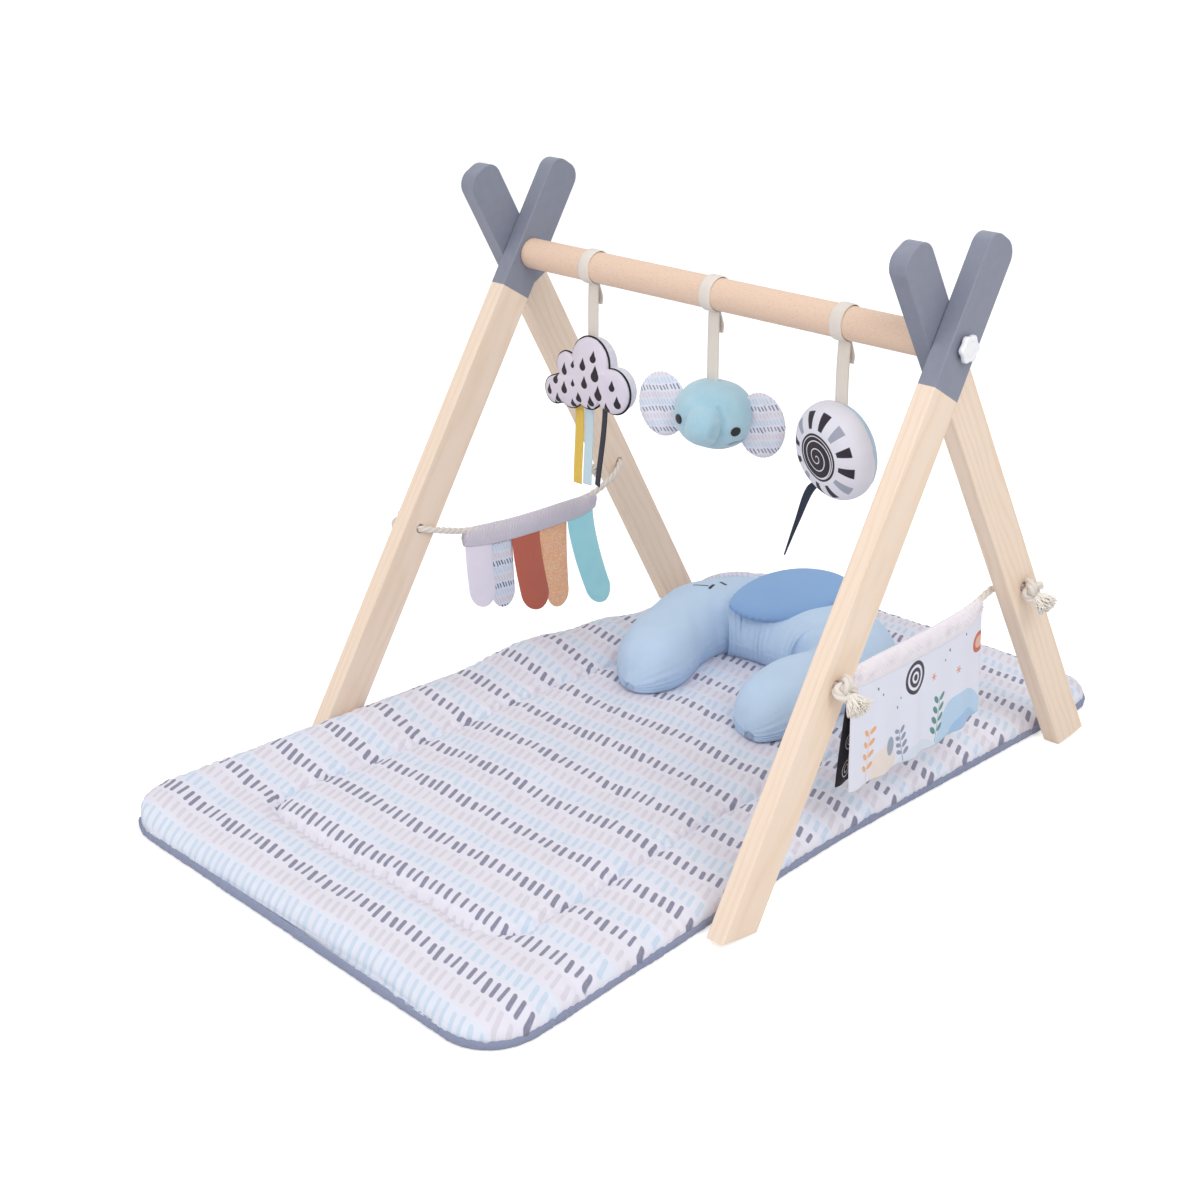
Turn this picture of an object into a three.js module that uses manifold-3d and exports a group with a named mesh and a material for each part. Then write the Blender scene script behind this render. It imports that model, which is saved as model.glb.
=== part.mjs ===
import * as THREE from "three";
import { mergeVertices } from "three/addons/utils/BufferGeometryUtils.js";
import Module from "manifold-3d";

// Wooden activity play gym: two folding A-frames, a crossbar with hanging toys, rope-hung cloth and a mat.
// Millimetres. X runs along the crossbar, Y along the mat, +Z is up. The origin is on the floor, under
// the middle of the crossbar. The outer board on the right stands with its foot at -Y.

const wasm = await Module();
wasm.setup();

// Clearances that every piece shares
const fitGap = 0.3;
const overrun = 4;
const weldStep = 1e-4;

// Crossbar and the threaded inserts in its ends
const barLength = 539.4;
const barDia = 34;
const barHeight = 498;
const barChamfer = 1.2;
const insertDia = 9.4;
const insertLength = 18;
const insertBore = 6.6;

// Legs of the two A-frames
const boardThick = 20;
const boardWide = 44;
const leanAngle = THREE.MathUtils.degToRad(30.4);
const footCutAngle = THREE.MathUtils.degToRad(23);
const topReach = 112;
const topRound = 17;
const arris = 1.4;
const ropeHoleDrop = 332;
const ropeHoleDia = 9.5;

// Star knobs, their studs and washers
const studDia = 6;
const studHoleClear = 0.5;
const studInBar = 15;
const washerDia = 17;
const washerThick = 0.8;
const knobDia = 28;
const knobLobeDepth = 2.2;
const knobLobes = 6;
const knobThick = 5.6;
const knobBossDia = 15;
const knobBossHeight = 1.2;
const knobRound = 1.2;
const knobSkin = 2.2;

// Ropes and their end knots
const ropeDia = 6.2;
const ropeStandOff = 7;
const rightRopeSags = [6, 15, 17, 18, 18, 15, 5];
const leftRopeSags = [11, 27, 28, 27, 24, 17, 4];
const knotWide = 27;
const knotThick = 21;
const tasselLength = 17;
const tasselDia = 17;
const tasselFlareShare = 0.42;
const tasselFlarePlaceShare = 0.55;
const rightTasselTilt = THREE.MathUtils.degToRad(53);
const leftTasselTilt = THREE.MathUtils.degToRad(12);

// Gathered casing and the two flaps of the banner on the right rope
const casingStart = -105;
const casingLength = 236;
const casingHeight = 24;
const casingThick = 12;
const sheathPinchShare = 0.16;
const sheathPinchPower = 6;
const flapHemHeight = 106.6;
const flapThick = 1.6;
const flapFoldDepth = 3.4;
const flapFolds = 5;
const flapSplay = 12;
const flapTopSplayShare = 0.08;
const innerFlapFoldShift = 0.6;

// Bunting on the left rope
const sleeveStart = -107;
const sleeveLength = 221;
const sleeveHeight = 26;
const sleeveThick = 10;
const tabThick = 4.5;
const tabPlaces = [-81, -43.5, -2, 49, 91];
const tabWides = [42, 30, 42, 33, 38];
const tabFloor = 78;
const tabLengthShares = [0.569, 0.621, 0.741, 0.801, 0.906];
const tabLeans = [7, 6, 13, 2, 32];
const tabLeanPower = 1.4;
const tabSeamShare = 0.45;
const tabSwellEndShare = 0.1;
const tabTipShare = 0.25;

// Straps that hang the toys
const webWide = 15;
const webThick = 1.8;
const loopClear = 0.4;
const tailLength = 22;
const seamTuck = 5;

// Cloud toy
const cloudPlaceShare = -0.3096;
const cloudDrop = 77;
const cloudStrapOffset = -4;
const cloudWide = 137;
const cloudThick = 28;
const cloudFullShare = 0.36;
const cloudGussetShare = 0.34;
const ribbonWide = 13;
const ribbonThick = 1;
const ribbonLengths = [90, 88, 86];
const ribbonRootShare = 0.18;
const ribbonSeamShare = 0.3;
const ribbonWaves = 0.75;

// Elephant toy
const elephantPlaceShare = 0.0074;
const headOffset = 4;
const headDrop = 92;
const headWide = 83;
const headDeep = 74;
const headTall = 71.5;
const headTurn = THREE.MathUtils.degToRad(27);
const headRoll = THREE.MathUtils.degToRad(7);
const trunkDia = 38;
const trunkLength = 37;
const trunkBend = THREE.MathUtils.degToRad(60);
const trunkTaperShare = 0.1;
const trunkTipShare = 0.9;
const trunkEndShare = 0.045;
const trunkPlaceShares = [-0.03, -0.3, 0];
const trunkDropShare = 0.74;
const earWide = 52;
const earTall = 70;
const earThick = 10;
const earFullShare = 0.7;
const earTilt = THREE.MathUtils.degToRad(15);
const earPlaceShare = 0.642;
const earShiftShare = 0.032;
const earLowerShare = 0.021;
const eyeDia = 9;
const eyeThick = 1.6;
const eyeFullShare = 0.6;
const eyePlaceShare = 0.371;
const eyeLowerShare = 0.096;

// Sun toy
const sunPlaceShare = 0.3263;
const sunOffset = 7;
const sunDrop = 80;
const sunStrapOffset = -3;
const sunDia = 102;
const sunThick = 50;
const sunFullShare = 0.62;
const sunTurn = THREE.MathUtils.degToRad(-12);
const sunTilt = THREE.MathUtils.degToRad(9);
const sunTailWide = 13;
const sunTailThick = 1.2;
const sunTailTaperShare = 0.93;

// Mat: a quilted pad sewn to a backing
const matFront = -565;
const matBack = 410;
const matLegGap = 2;
const matRightInset = 14;
const matRightFlare = 27;
const matRightFlareStart = 20;
const matFlareEnd = 500;
const matCorner = 56;
const matThick = 24;
const backingThick = 6.7;
const matRim = 12;
const matLeftLift = 11;
const matLeftLiftEnd = 180;
const matLeftLiftFade = 80;
const matLeftWave = 9;
const matLeftWaveY = -25;
const matLeftWaveLength = 200;
const matCornerPullX = 8;
const matCornerPullY = -14;
const matCornerPullReach = 180;
const matRoll = 38;
const quiltInset = 97;
const quiltCorner = 46;
const quiltDepth = 7;
const quiltWide = 10;
const matCornerShares = [0, 0.07, 0.29, 0.62, 1];
const matRollShares = [0, 0.12, 0.45, 1];
const matSeamShares = [-1.4, 0, 1.4];

// Nursing cushion and its two ears
const cushionTall = 73;
const cushionWide = 112;
const cushionSpan = 210;
const cushionX = -45;
const cushionY = 130;
const cushionSeamShare = 0.3;
const cushionFlatShare = 0.12;
const cushionTopPower = 0.9;
const cushionSidePower = 0.82;
const cushionFootPower = 0.2;
const cushionEarLong = 146;
const cushionEarWide = 76;
const cushionEarThick = 24;
const cushionEarFullShare = 0.6;
const cushionEarSidePower = 0.62;
const cushionEarPlaceShares = [0.038, 0.313, 1.05];
const cushionEarTurns = [38, -64, -19].map((angle) => THREE.MathUtils.degToRad(angle));
const cushionFarEarLong = 92;
const cushionFarEarWide = 52;
const cushionFarEarThick = 16;
const cushionFarEarPlaceShares = [-0.509, 0.45, 0.649];
const cushionFarEarTurns = [42, 32, -14].map((angle) => THREE.MathUtils.degToRad(angle));

// Finishes
const finish = (color, roughness, metalness = 0) =>
  new THREE.MeshStandardMaterial({ color, roughness, metalness });
const pine = () => finish(0xe6cba4, 0.62);
const beech = () => finish(0xdcb48e, 0.55);
const steel = () => finish(0xb8bbc0, 0.35, 0.9);
const brass = () => finish(0xc2a25a, 0.35, 0.9);
const whitePlastic = () => finish(0xf1f1f6, 0.4);
const cotton = (color) => finish(color, 0.92);

// Joining the corners that faces share, and turning every face outward
function closed(geometry, matrix = new THREE.Matrix4()) {
  const bare = new THREE.BufferGeometry();
  bare.setAttribute("position", geometry.getAttribute("position").clone());
  if (geometry.index) bare.setIndex(geometry.index.clone());
  bare.applyMatrix4(matrix);
  const merged = mergeVertices(bare, weldStep);
  const corners = merged.index.array;
  const kept = [];
  for (let i = 0; i < corners.length; i += 3) {
    const [a, b, c] = corners.slice(i, i + 3);
    if (a !== b && b !== c && a !== c) kept.push(a, b, c);
  }
  merged.setIndex(kept);
  if (volumeOf(merged) < 0) {
    for (let i = 0; i < kept.length; i += 3) [kept[i + 1], kept[i + 2]] = [kept[i + 2], kept[i + 1]];
    merged.setIndex(kept);
  }
  merged.computeVertexNormals();
  return merged;
}

function volumeOf(geometry) {
  const p = geometry.getAttribute("position");
  const index = geometry.index.array;
  const [a, b, c] = [new THREE.Vector3(), new THREE.Vector3(), new THREE.Vector3()];
  let total = 0;
  for (let i = 0; i < index.length; i += 3) {
    a.fromBufferAttribute(p, index[i]);
    b.fromBufferAttribute(p, index[i + 1]);
    c.fromBufferAttribute(p, index[i + 2]);
    total += a.dot(b.cross(c)) / 6;
  }
  return total;
}

function solid(geometry, matrix) {
  const g = closed(geometry, matrix);
  const vertProperties = g.getAttribute("position").array;
  return new wasm.Manifold(
    new wasm.Mesh({ numProp: 3, vertProperties, triVerts: new Uint32Array(g.index.array) }),
  );
}

function geometryOf(manifold) {
  const made = manifold.getMesh();
  const g = new THREE.BufferGeometry();
  const places = new Float32Array(made.numVert * 3);
  for (let i = 0; i < made.numVert; i++) {
    places.set(made.vertProperties.subarray(i * made.numProp, i * made.numProp + 3), i * 3);
  }
  g.setAttribute("position", new THREE.BufferAttribute(places, 3));
  g.setIndex(new THREE.BufferAttribute(made.triVerts, 1));
  g.computeVertexNormals();
  return g;
}

const gym = new THREE.Group();

function add(name, shape, material, parent = gym) {
  const geometry = shape.isBufferGeometry ? closed(shape) : geometryOf(shape);
  const mesh = new THREE.Mesh(geometry, material);
  mesh.name = name;
  parent.add(mesh);
  return mesh;
}

// Sections of equal count make a solid, and each end is closed to its own middle
function ringSolid(rings) {
  const count = rings[0].length;
  const places = rings.flat().flatMap((p) => [p.x, p.y, p.z]);
  const faces = [];
  const middle = (ring) => {
    const m = ring.reduce((sum, p) => sum.add(p), new THREE.Vector3()).divideScalar(count);
    places.push(m.x, m.y, m.z);
    return places.length / 3 - 1;
  };
  for (let r = 0; r + 1 < rings.length; r++) {
    for (let i = 0; i < count; i++) {
      const a = r * count + i;
      const b = r * count + ((i + 1) % count);
      faces.push(a, b, b + count, a, b + count, a + count);
    }
  }
  const first = middle(rings[0]);
  const last = middle(rings[rings.length - 1]);
  const start = (rings.length - 1) * count;
  for (let i = 0; i < count; i++) {
    const next = (i + 1) % count;
    faces.push(first, next, i, last, start + i, start + next);
  }
  const g = new THREE.BufferGeometry();
  g.setAttribute("position", new THREE.Float32BufferAttribute(places, 3));
  g.setIndex(faces);
  return g;
}

// A stuffed flat shape: its outline in X and Z swells to half its thickness along Y at the middle
function stuffed(outline, thick, steps, fullShare, seamShare = 0) {
  const rings = [];
  for (let k = 0; k <= 2 * steps; k++) {
    const turn = (k / steps - 1) * (Math.PI / 2);
    const size = k % (2 * steps) ? Math.cos(turn) ** fullShare : 0;
    const y = (thick / 2) * (seamShare * Math.sign(turn) + (1 - seamShare) * Math.sin(turn));
    rings.push(outline.map((p) => new THREE.Vector3(p.x * size, y, p.y * size)));
  }
  return ringSolid(rings);
}

const circlePoint = (turn, rx, ry) => new THREE.Vector2(rx * Math.cos(turn), ry * Math.sin(turn));
const turns = (count) => Array.from({ length: count }, (_, i) => (i / count) * 2 * Math.PI);
const oval = (rx, ry, count) => turns(count).map((t) => circlePoint(t, rx, ry));

// A round tube or oval sleeve along a path
function swept(path, halfWide, halfTall, sides, steps) {
  const shape = new THREE.Shape(oval(halfTall, halfWide, sides));
  return new THREE.ExtrudeGeometry(shape, { steps, extrudePath: path, bevelEnabled: false });
}

const xAxisTurn = new THREE.Matrix4().makeRotationZ(-Math.PI / 2);
const lathed = (points, sides) =>
  new THREE.LatheGeometry(points.map(([r, along]) => new THREE.Vector2(r, along)), sides);
const place = (x, y, z) => new THREE.Matrix4().makeTranslation(x, y, z);
const smooth = (t) => THREE.MathUtils.smoothstep(t, 0, 1);

// Crossbar: a turned dowel with a blind bore in each end for an insert
const barEnd = barLength / 2;
const barRadius = barDia / 2;
const boreRadius = insertDia / 2 + fitGap;
const boreDepth = insertLength + 2 * fitGap;

function crossbar() {
  const half = [
    [0, barEnd - boreDepth],
    [boreRadius, barEnd - boreDepth],
    [boreRadius, barEnd],
    [barRadius - barChamfer, barEnd],
    [barRadius, barEnd - barChamfer],
  ];
  const other = half.map(([r, along]) => [r, -along]);
  const profile = [...other, ...half.reverse()];
  return closed(lathed(profile, 24), place(0, 0, barHeight).multiply(xAxisTurn));
}

function threadedInsert() {
  const profile = [
    [insertBore / 2, barEnd - fitGap - insertLength],
    [insertDia / 2, barEnd - fitGap - insertLength],
    [insertDia / 2, barEnd - fitGap],
    [insertBore / 2, barEnd - fitGap],
    [insertBore / 2, barEnd - fitGap - insertLength],
  ];
  return closed(lathed(profile, 16), place(0, 0, barHeight).multiply(xAxisTurn));
}

// Legs: boards side by side at each end, crossed on the stud
const innerFace = barEnd + fitGap;
const outerInner = innerFace + boardThick + fitGap;
const outerFace = outerInner + boardThick;
const footDrop =
  (barHeight -
    (boardWide / 2) * (Math.sin(leanAngle) - Math.tan(footCutAngle) * Math.cos(leanAngle))) /
  Math.cos(leanAngle);
const footRise = (boardWide / 2) * Math.tan(footCutAngle);

function boardOutline() {
  const half = boardWide / 2;
  const outline = new THREE.Shape();
  outline.moveTo(-half, -footDrop - footRise);
  outline.lineTo(half, -footDrop + footRise);
  outline.lineTo(half, topReach - topRound);
  outline.absarc(half - topRound, topReach - topRound, topRound, 0, Math.PI / 2, false);
  outline.absarc(topRound - half, topReach - topRound, topRound, Math.PI / 2, Math.PI, false);
  outline.lineTo(-half, -footDrop - footRise);
  const stud = new THREE.Path();
  stud.absarc(0, 0, studDia / 2 + studHoleClear, 0, 2 * Math.PI, true);
  const rope = new THREE.Path();
  rope.absarc(0, -ropeHoleDrop, ropeHoleDia / 2, 0, 2 * Math.PI, true);
  outline.holes.push(stud, rope);
  return outline;
}

const boardFrame = new THREE.Matrix4().makeBasis(
  new THREE.Vector3(0, 1, 0),
  new THREE.Vector3(0, 0, 1),
  new THREE.Vector3(1, 0, 0),
);

// A board whose foot is at -Y, with its inner side at x
function board(x) {
  const g = new THREE.ExtrudeGeometry(boardOutline(), {
    depth: boardThick - 2 * arris,
    bevelThickness: arris,
    bevelSize: arris,
    bevelOffset: -arris,
    bevelSegments: 1,
    curveSegments: 6,
  });
  const lean = new THREE.Matrix4().makeRotationX(-leanAngle);
  const m = place(x + arris, 0, barHeight).multiply(lean).multiply(boardFrame);
  return closed(g, m);
}

// Star knob, stud and washer, along X from the outer board
const washerStart = outerFace + fitGap;
const bossStart = washerStart + washerThick + fitGap;
const knobStart = bossStart + knobBossHeight;
const knobEnd = knobStart + knobThick;

function starKnob() {
  const mean = (knobDia - knobLobeDepth) / 2;
  const star = turns(42).map((t) => {
    const r = mean + (knobLobeDepth / 2) * Math.cos(knobLobes * t);
    return new THREE.Vector2(r * Math.cos(t), r * Math.sin(t));
  });
  const head = new THREE.ExtrudeGeometry(new THREE.Shape(star), {
    depth: knobThick - 2 * knobRound,
    bevelThickness: knobRound,
    bevelSize: knobRound,
    bevelOffset: -knobRound,
    bevelSegments: 1,
  });
  const headAt = place(knobStart + knobRound, 0, barHeight).multiply(boardFrame);
  const ring = [
    [0, bossStart],
    [knobBossDia / 2, bossStart],
    [knobBossDia / 2, knobStart + knobRound],
    [0, knobStart + knobRound],
  ];
  const onAxis = place(0, 0, barHeight).multiply(xAxisTurn);
  const bore = [
    [0, bossStart - overrun],
    [studDia / 2 + fitGap, bossStart - overrun],
    [studDia / 2 + fitGap, knobEnd - knobSkin],
    [0, knobEnd - knobSkin],
  ];
  return solid(head, headAt)
    .add(solid(lathed(ring, 24), onAxis))
    .subtract(solid(lathed(bore, 16), onAxis));
}

function stud() {
  const start = barEnd - studInBar;
  const end = knobEnd - knobSkin - fitGap;
  const profile = [
    [0, start],
    [studDia / 2, start],
    [studDia / 2, end],
    [0, end],
  ];
  return closed(lathed(profile, 14), place(0, 0, barHeight).multiply(xAxisTurn));
}

function washer() {
  const bore = studDia / 2 + fitGap;
  const profile = [
    [bore, washerStart],
    [washerDia / 2, washerStart],
    [washerDia / 2, washerStart + washerThick],
    [bore, washerStart + washerThick],
    [bore, washerStart],
  ];
  return closed(lathed(profile, 20), place(0, 0, barHeight).multiply(xAxisTurn));
}

// Ropes: through a hole in each leg, with a knot outside each hole
const holeY = ropeHoleDrop * Math.sin(leanAngle);
const holeZ = barHeight - ropeHoleDrop * Math.cos(leanAngle);
const nearX = outerInner - ropeStandOff;
const farX = innerFace - ropeStandOff;
const ropeRadius = ropeDia / 2;

// The free stretch sags just inside the legs, from the outer board's side to the inner board's
const sagPlaceShares = [-0.9, -0.62, -0.3, 0, 0.3, 0.62, 0.9];

function ropePath(sags) {
  const free = sagPlaceShares.map((share, i) => {
    const x = THREE.MathUtils.lerp(nearX, farX, (share + 1) / 2);
    return new THREE.Vector3(x, share * holeY, holeZ - sags[i]);
  });
  const points = [
    new THREE.Vector3(outerFace + fitGap, -holeY, holeZ),
    new THREE.Vector3(outerFace - boardThick / 2, -holeY, holeZ),
    new THREE.Vector3(outerInner, -holeY, holeZ),
    ...free,
    new THREE.Vector3(innerFace, holeY, holeZ),
    new THREE.Vector3(innerFace + boardThick / 2, holeY, holeZ),
    new THREE.Vector3(innerFace + boardThick + fitGap, holeY, holeZ),
  ];
  return new THREE.CatmullRomCurve3(points, false, "centripetal");
}

const rightPath = ropePath(rightRopeSags);
const leftPath = ropePath(leftRopeSags);
const rope = (path, radius) => swept(path, radius, radius, 8, 48);
const ropeRoom = (path) => solid(rope(path, ropeRadius + fitGap));

// The rope's middle at a place along Y, found by halving the stretch that holds it
function ropeAt(path, y) {
  let low = 0;
  let high = 1;
  for (let i = 0; i < 24; i++) {
    const middle = (low + high) / 2;
    if (path.getPoint(middle).y < y) low = middle;
    else high = middle;
  }
  return path.getPoint(low).setY(y);
}

// A knot and its frayed end, outside a board's face at x
function endKnot(path, x, y, tassel) {
  const ball = new THREE.SphereGeometry(1, 14, 10);
  const centre = place(x + fitGap + knotThick / 2, y, holeZ);
  const size = new THREE.Matrix4().makeScale(knotThick / 2, knotWide / 2, knotWide / 2);
  const brush = [
    [0, 0],
    [ropeRadius, 0],
    [tasselDia * tasselFlareShare, -knotWide / 2 - tasselLength * tasselFlarePlaceShare],
    [tasselDia / 2, -knotWide / 2 - tasselLength],
    [0, -knotWide / 2 - tasselLength],
  ];
  const down = new THREE.Matrix4().makeRotationX(Math.PI / 2);
  const tilt = new THREE.Matrix4().makeRotationY(-tassel).multiply(down);
  const knot = solid(ball, centre.clone().multiply(size));
  const frayed = solid(lathed(brush, 10), centre.clone().multiply(tilt));
  const keep = new THREE.BoxGeometry(barLength, barLength, barLength);
  const outside = solid(keep, place(x + fitGap + barLength / 2, y, holeZ));
  return knot.add(frayed).intersect(outside).subtract(ropeRoom(path));
}

// Casing and sleeve: cloth tubes gathered on the rope, which runs through their upper half
const sheathDrop = (height) => height / 2 - ropeRadius - flapThick;

function ropeSheath(path, start, length, height, thick) {
  const steps = 14;
  const rings = Array.from({ length: steps + 1 }, (_, k) => {
    const middle = ropeAt(path, start + (length * k) / steps);
    const fromMiddle = Math.abs((2 * k) / steps - 1);
    const pinch = 1 - sheathPinchShare * fromMiddle ** sheathPinchPower;
    return oval((thick / 2) * pinch, (height / 2) * pinch, 14).map(
      (q) => new THREE.Vector3(middle.x + q.x, middle.y, middle.z - sheathDrop(height) + q.y),
    );
  });
  return solid(ringSolid(rings)).subtract(ropeRoom(path));
}

const belowSheath = (path, y, height) =>
  ropeAt(path, y).add(new THREE.Vector3(0, 0, -sheathDrop(height) - height / 2 - fitGap));

// Banner flap: a sheet that hangs from the casing in soft folds
const flapDrop = holeZ - flapHemHeight;

function flap(splay, foldShift) {
  const columns = 21;
  const rows = 5;
  const rings = Array.from({ length: columns }, (_, i) => {
    const across = i / (columns - 1);
    const top = belowSheath(rightPath, casingStart + casingLength * across, casingHeight);
    const fold = flapFoldDepth * Math.sin(2 * Math.PI * flapFolds * across + foldShift);
    const at = (j, side) => {
      const down = j / (rows - 1);
      const seam = Math.sign(splay) * (flapThick / 2 + fitGap);
      const spread = THREE.MathUtils.lerp(flapTopSplayShare, 1, down);
      const out = seam + (splay + fold) * spread + (side * flapThick) / 2;
      return top.clone().add(new THREE.Vector3(out, 0, -flapDrop * down));
    };
    const outer = Array.from({ length: rows }, (_, j) => at(j, 1));
    const inner = Array.from({ length: rows }, (_, j) => at(rows - 1 - j, -1));
    return [...outer, ...inner];
  });
  return ringSolid(rings);
}

// Bunting tab: a soft finger shape that hangs from the sleeve and leans along Y.
// It is made for the right and turned with the left rope, so its places along Y are reversed.
function tab(index) {
  const y = -tabPlaces[index];
  const length = tabLengthShares[index] * (holeZ - tabFloor);
  const tip = tabWides[index] / 2;
  const rows = 9;
  const rings = Array.from({ length: rows }, (_, j) => {
    const down = Math.sin((j / (rows - 1)) * (Math.PI / 2));
    const left = length * (1 - down);
    const half = left < tip ? Math.sqrt(tip ** 2 - (tip - left) ** 2) : tip;
    const wide = Math.max(half - fitGap, tabThick * tabTipShare);
    const bow = Math.sin(Math.PI * Math.min(down + tabSwellEndShare, 1 - tabSwellEndShare));
    const swell = (tabThick / 2) * THREE.MathUtils.lerp(tabSeamShare, 1, bow);
    const lean = -tabLeans[index] * down ** tabLeanPower;
    return oval(swell, wide, 10).map((q) => {
      const hung = belowSheath(leftPath, y + q.y, sleeveHeight);
      return hung.add(new THREE.Vector3(q.x, lean, -length * down));
    });
  });
  return ringSolid(rings);
}

// Straps: a loop round the crossbar, and a band with a short doubled tail below it
const loopInner = barRadius + loopClear;
const loopOuter = loopInner + webThick;
const strapTop = barHeight - loopOuter - fitGap;

function barLoop(x) {
  const profile = [
    [loopInner, -webWide / 2],
    [loopOuter, -webWide / 2],
    [loopOuter, webWide / 2],
    [loopInner, webWide / 2],
    [loopInner, -webWide / 2],
  ];
  return closed(lathed(profile, 24), place(x, 0, barHeight).multiply(xAxisTurn));
}

// The band's lower end is sewn into the toy, whose surface cuts it
function strap(x, toyTop, toy) {
  const half = webThick / 2;
  const bottom = toyTop - seamTuck;
  const outline = new THREE.Shape();
  outline.moveTo(-half, bottom);
  outline.lineTo(half, bottom);
  outline.lineTo(half, strapTop - 2 * webThick);
  outline.lineTo(half + webThick / 2, strapTop - 2 * webThick);
  outline.lineTo(half + webThick, strapTop - tailLength);
  outline.lineTo(half + 2 * webThick, strapTop - tailLength);
  outline.lineTo(half + webThick, strapTop);
  outline.lineTo(-half, strapTop);
  outline.lineTo(-half, bottom);
  const g = new THREE.ExtrudeGeometry(outline, { depth: webWide, bevelEnabled: false });
  return solid(g, place(x - webWide / 2, 0, 0).multiply(boardFrame)).subtract(toy);
}

// Cloud: the furthest that any of its lobes reaches in each direction, with a gusset round the rim
const lobeShares = [
  [-0.409, -0.19, 0.117],
  [-0.273, 0.036, 0.117],
  [-0.008, 0.117, 0.204],
  [0.249, -0.08, 0.182],
  [-0.029, -0.117, 0.16],
  [-0.232, -0.16, 0.146],
];

function cloudOutline() {
  const lobes = lobeShares.map((row) => row.map((share) => share * cloudWide));
  return turns(40).map((t) => {
    const way = new THREE.Vector2(Math.cos(t), Math.sin(t));
    const reach = lobes.map(([x, z, r]) => {
      const along = x * way.x + z * way.y;
      const off2 = x ** 2 + z ** 2 - along ** 2;
      return r ** 2 > off2 ? along + Math.sqrt(r ** 2 - off2) : 0;
    });
    return way.multiplyScalar(Math.max(...reach));
  });
}

const cloudX = cloudPlaceShare * barLength;
const cloudTop = barHeight - cloudDrop;
const cloudMiddle = cloudTop - Math.max(...cloudOutline().map((p) => p.y));

function cloudBody(gap) {
  const outline = cloudOutline().map((p) => p.setLength(p.length() + 2 * gap));
  const body = stuffed(outline, cloudThick + 2 * gap, 5, cloudFullShare, cloudGussetShare);
  return solid(body, place(cloudX, 0, cloudMiddle));
}

// Ribbons sewn into the bottom seam of the cloud
const ribbonPlaceShares = [-0.184, -0.072, 0.118];
const ribbonLeanShares = [0, 0, -0.1];

function ribbon(index) {
  const x = cloudX + ribbonPlaceShares[index] * cloudWide;
  const top = cloudMiddle - cloudWide * ribbonRootShare;
  const length = cloudWide * (ribbonSeamShare - ribbonRootShare) + ribbonLengths[index];
  const steps = 5;
  const rings = Array.from({ length: steps + 1 }, (_, k) => {
    const down = k / steps;
    const y = 3 * ribbonThick * Math.sin(2 * Math.PI * ribbonWaves * down);
    const middle = x + ribbonLeanShares[index] * length * down;
    const half = ribbonWide / 2;
    return [
      new THREE.Vector3(middle - half, y - ribbonThick / 2, top - length * down),
      new THREE.Vector3(middle + half, y - ribbonThick / 2, top - length * down),
      new THREE.Vector3(middle + half, y + ribbonThick / 2, top - length * down),
      new THREE.Vector3(middle - half, y + ribbonThick / 2, top - length * down),
    ];
  });
  return solid(ringSolid(rings)).subtract(cloudBody(fitGap));
}

// Elephant: a round head turned towards the viewer's left, with a trunk, two flat ears and two eyes
const elephantX = elephantPlaceShare * barLength;
const headTop = barHeight - headDrop;
const headMiddle = headTop - headTall / 2;
const headPose = place(elephantX + headOffset, 0, headMiddle)
  .multiply(new THREE.Matrix4().makeRotationZ(headTurn))
  .multiply(new THREE.Matrix4().makeRotationY(headRoll));

function ball(wide, deep, tall, across, around) {
  const g = new THREE.SphereGeometry(1, around, across);
  return g.applyMatrix4(new THREE.Matrix4().makeScale(wide / 2, deep / 2, tall / 2));
}

const headSolid = (gap) =>
  solid(ball(headWide + 2 * gap, headDeep + 2 * gap, headTall + 2 * gap, 12, 20), headPose);

function trunk() {
  const steps = 8;
  const [outShare, backShare, upShare] = trunkPlaceShares;
  const rings = Array.from({ length: steps + 1 }, (_, k) => {
    const along = k / steps;
    const bend = along * trunkBend;
    const run = trunkLength * along;
    const full = (trunkDia / 2) * (1 - trunkTaperShare * along);
    const cap = full * trunkTipShare;
    const intoCap = Math.max(cap - trunkLength + run, 0) / cap;
    const r = full * Math.sqrt(Math.max(1 - intoCap ** 2, trunkEndShare ** 2));
    const middle = new THREE.Vector3(
      headWide * outShare,
      headDeep * backShare - run * Math.cos(bend),
      headTall * upShare - run * Math.sin(bend) * trunkDropShare,
    );
    return oval(r, r, 14).map(
      (q) =>
        new THREE.Vector3(
          middle.x + q.x,
          middle.y - q.y * Math.sin(bend),
          middle.z + q.y * Math.cos(bend),
        ),
    );
  });
  return solid(ringSolid(rings), headPose).subtract(headSolid(fitGap));
}

function ear(side) {
  const outline = oval(earWide / 2, earTall / 2, 24);
  const out = headWide * (earPlaceShare * side - earShiftShare);
  const m = headPose
    .clone()
    .multiply(place(out, 0, -headTall * earLowerShare))
    .multiply(new THREE.Matrix4().makeRotationY(-earTilt));
  return solid(stuffed(outline, earThick, 3, earFullShare), m).subtract(headSolid(fitGap));
}

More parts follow.
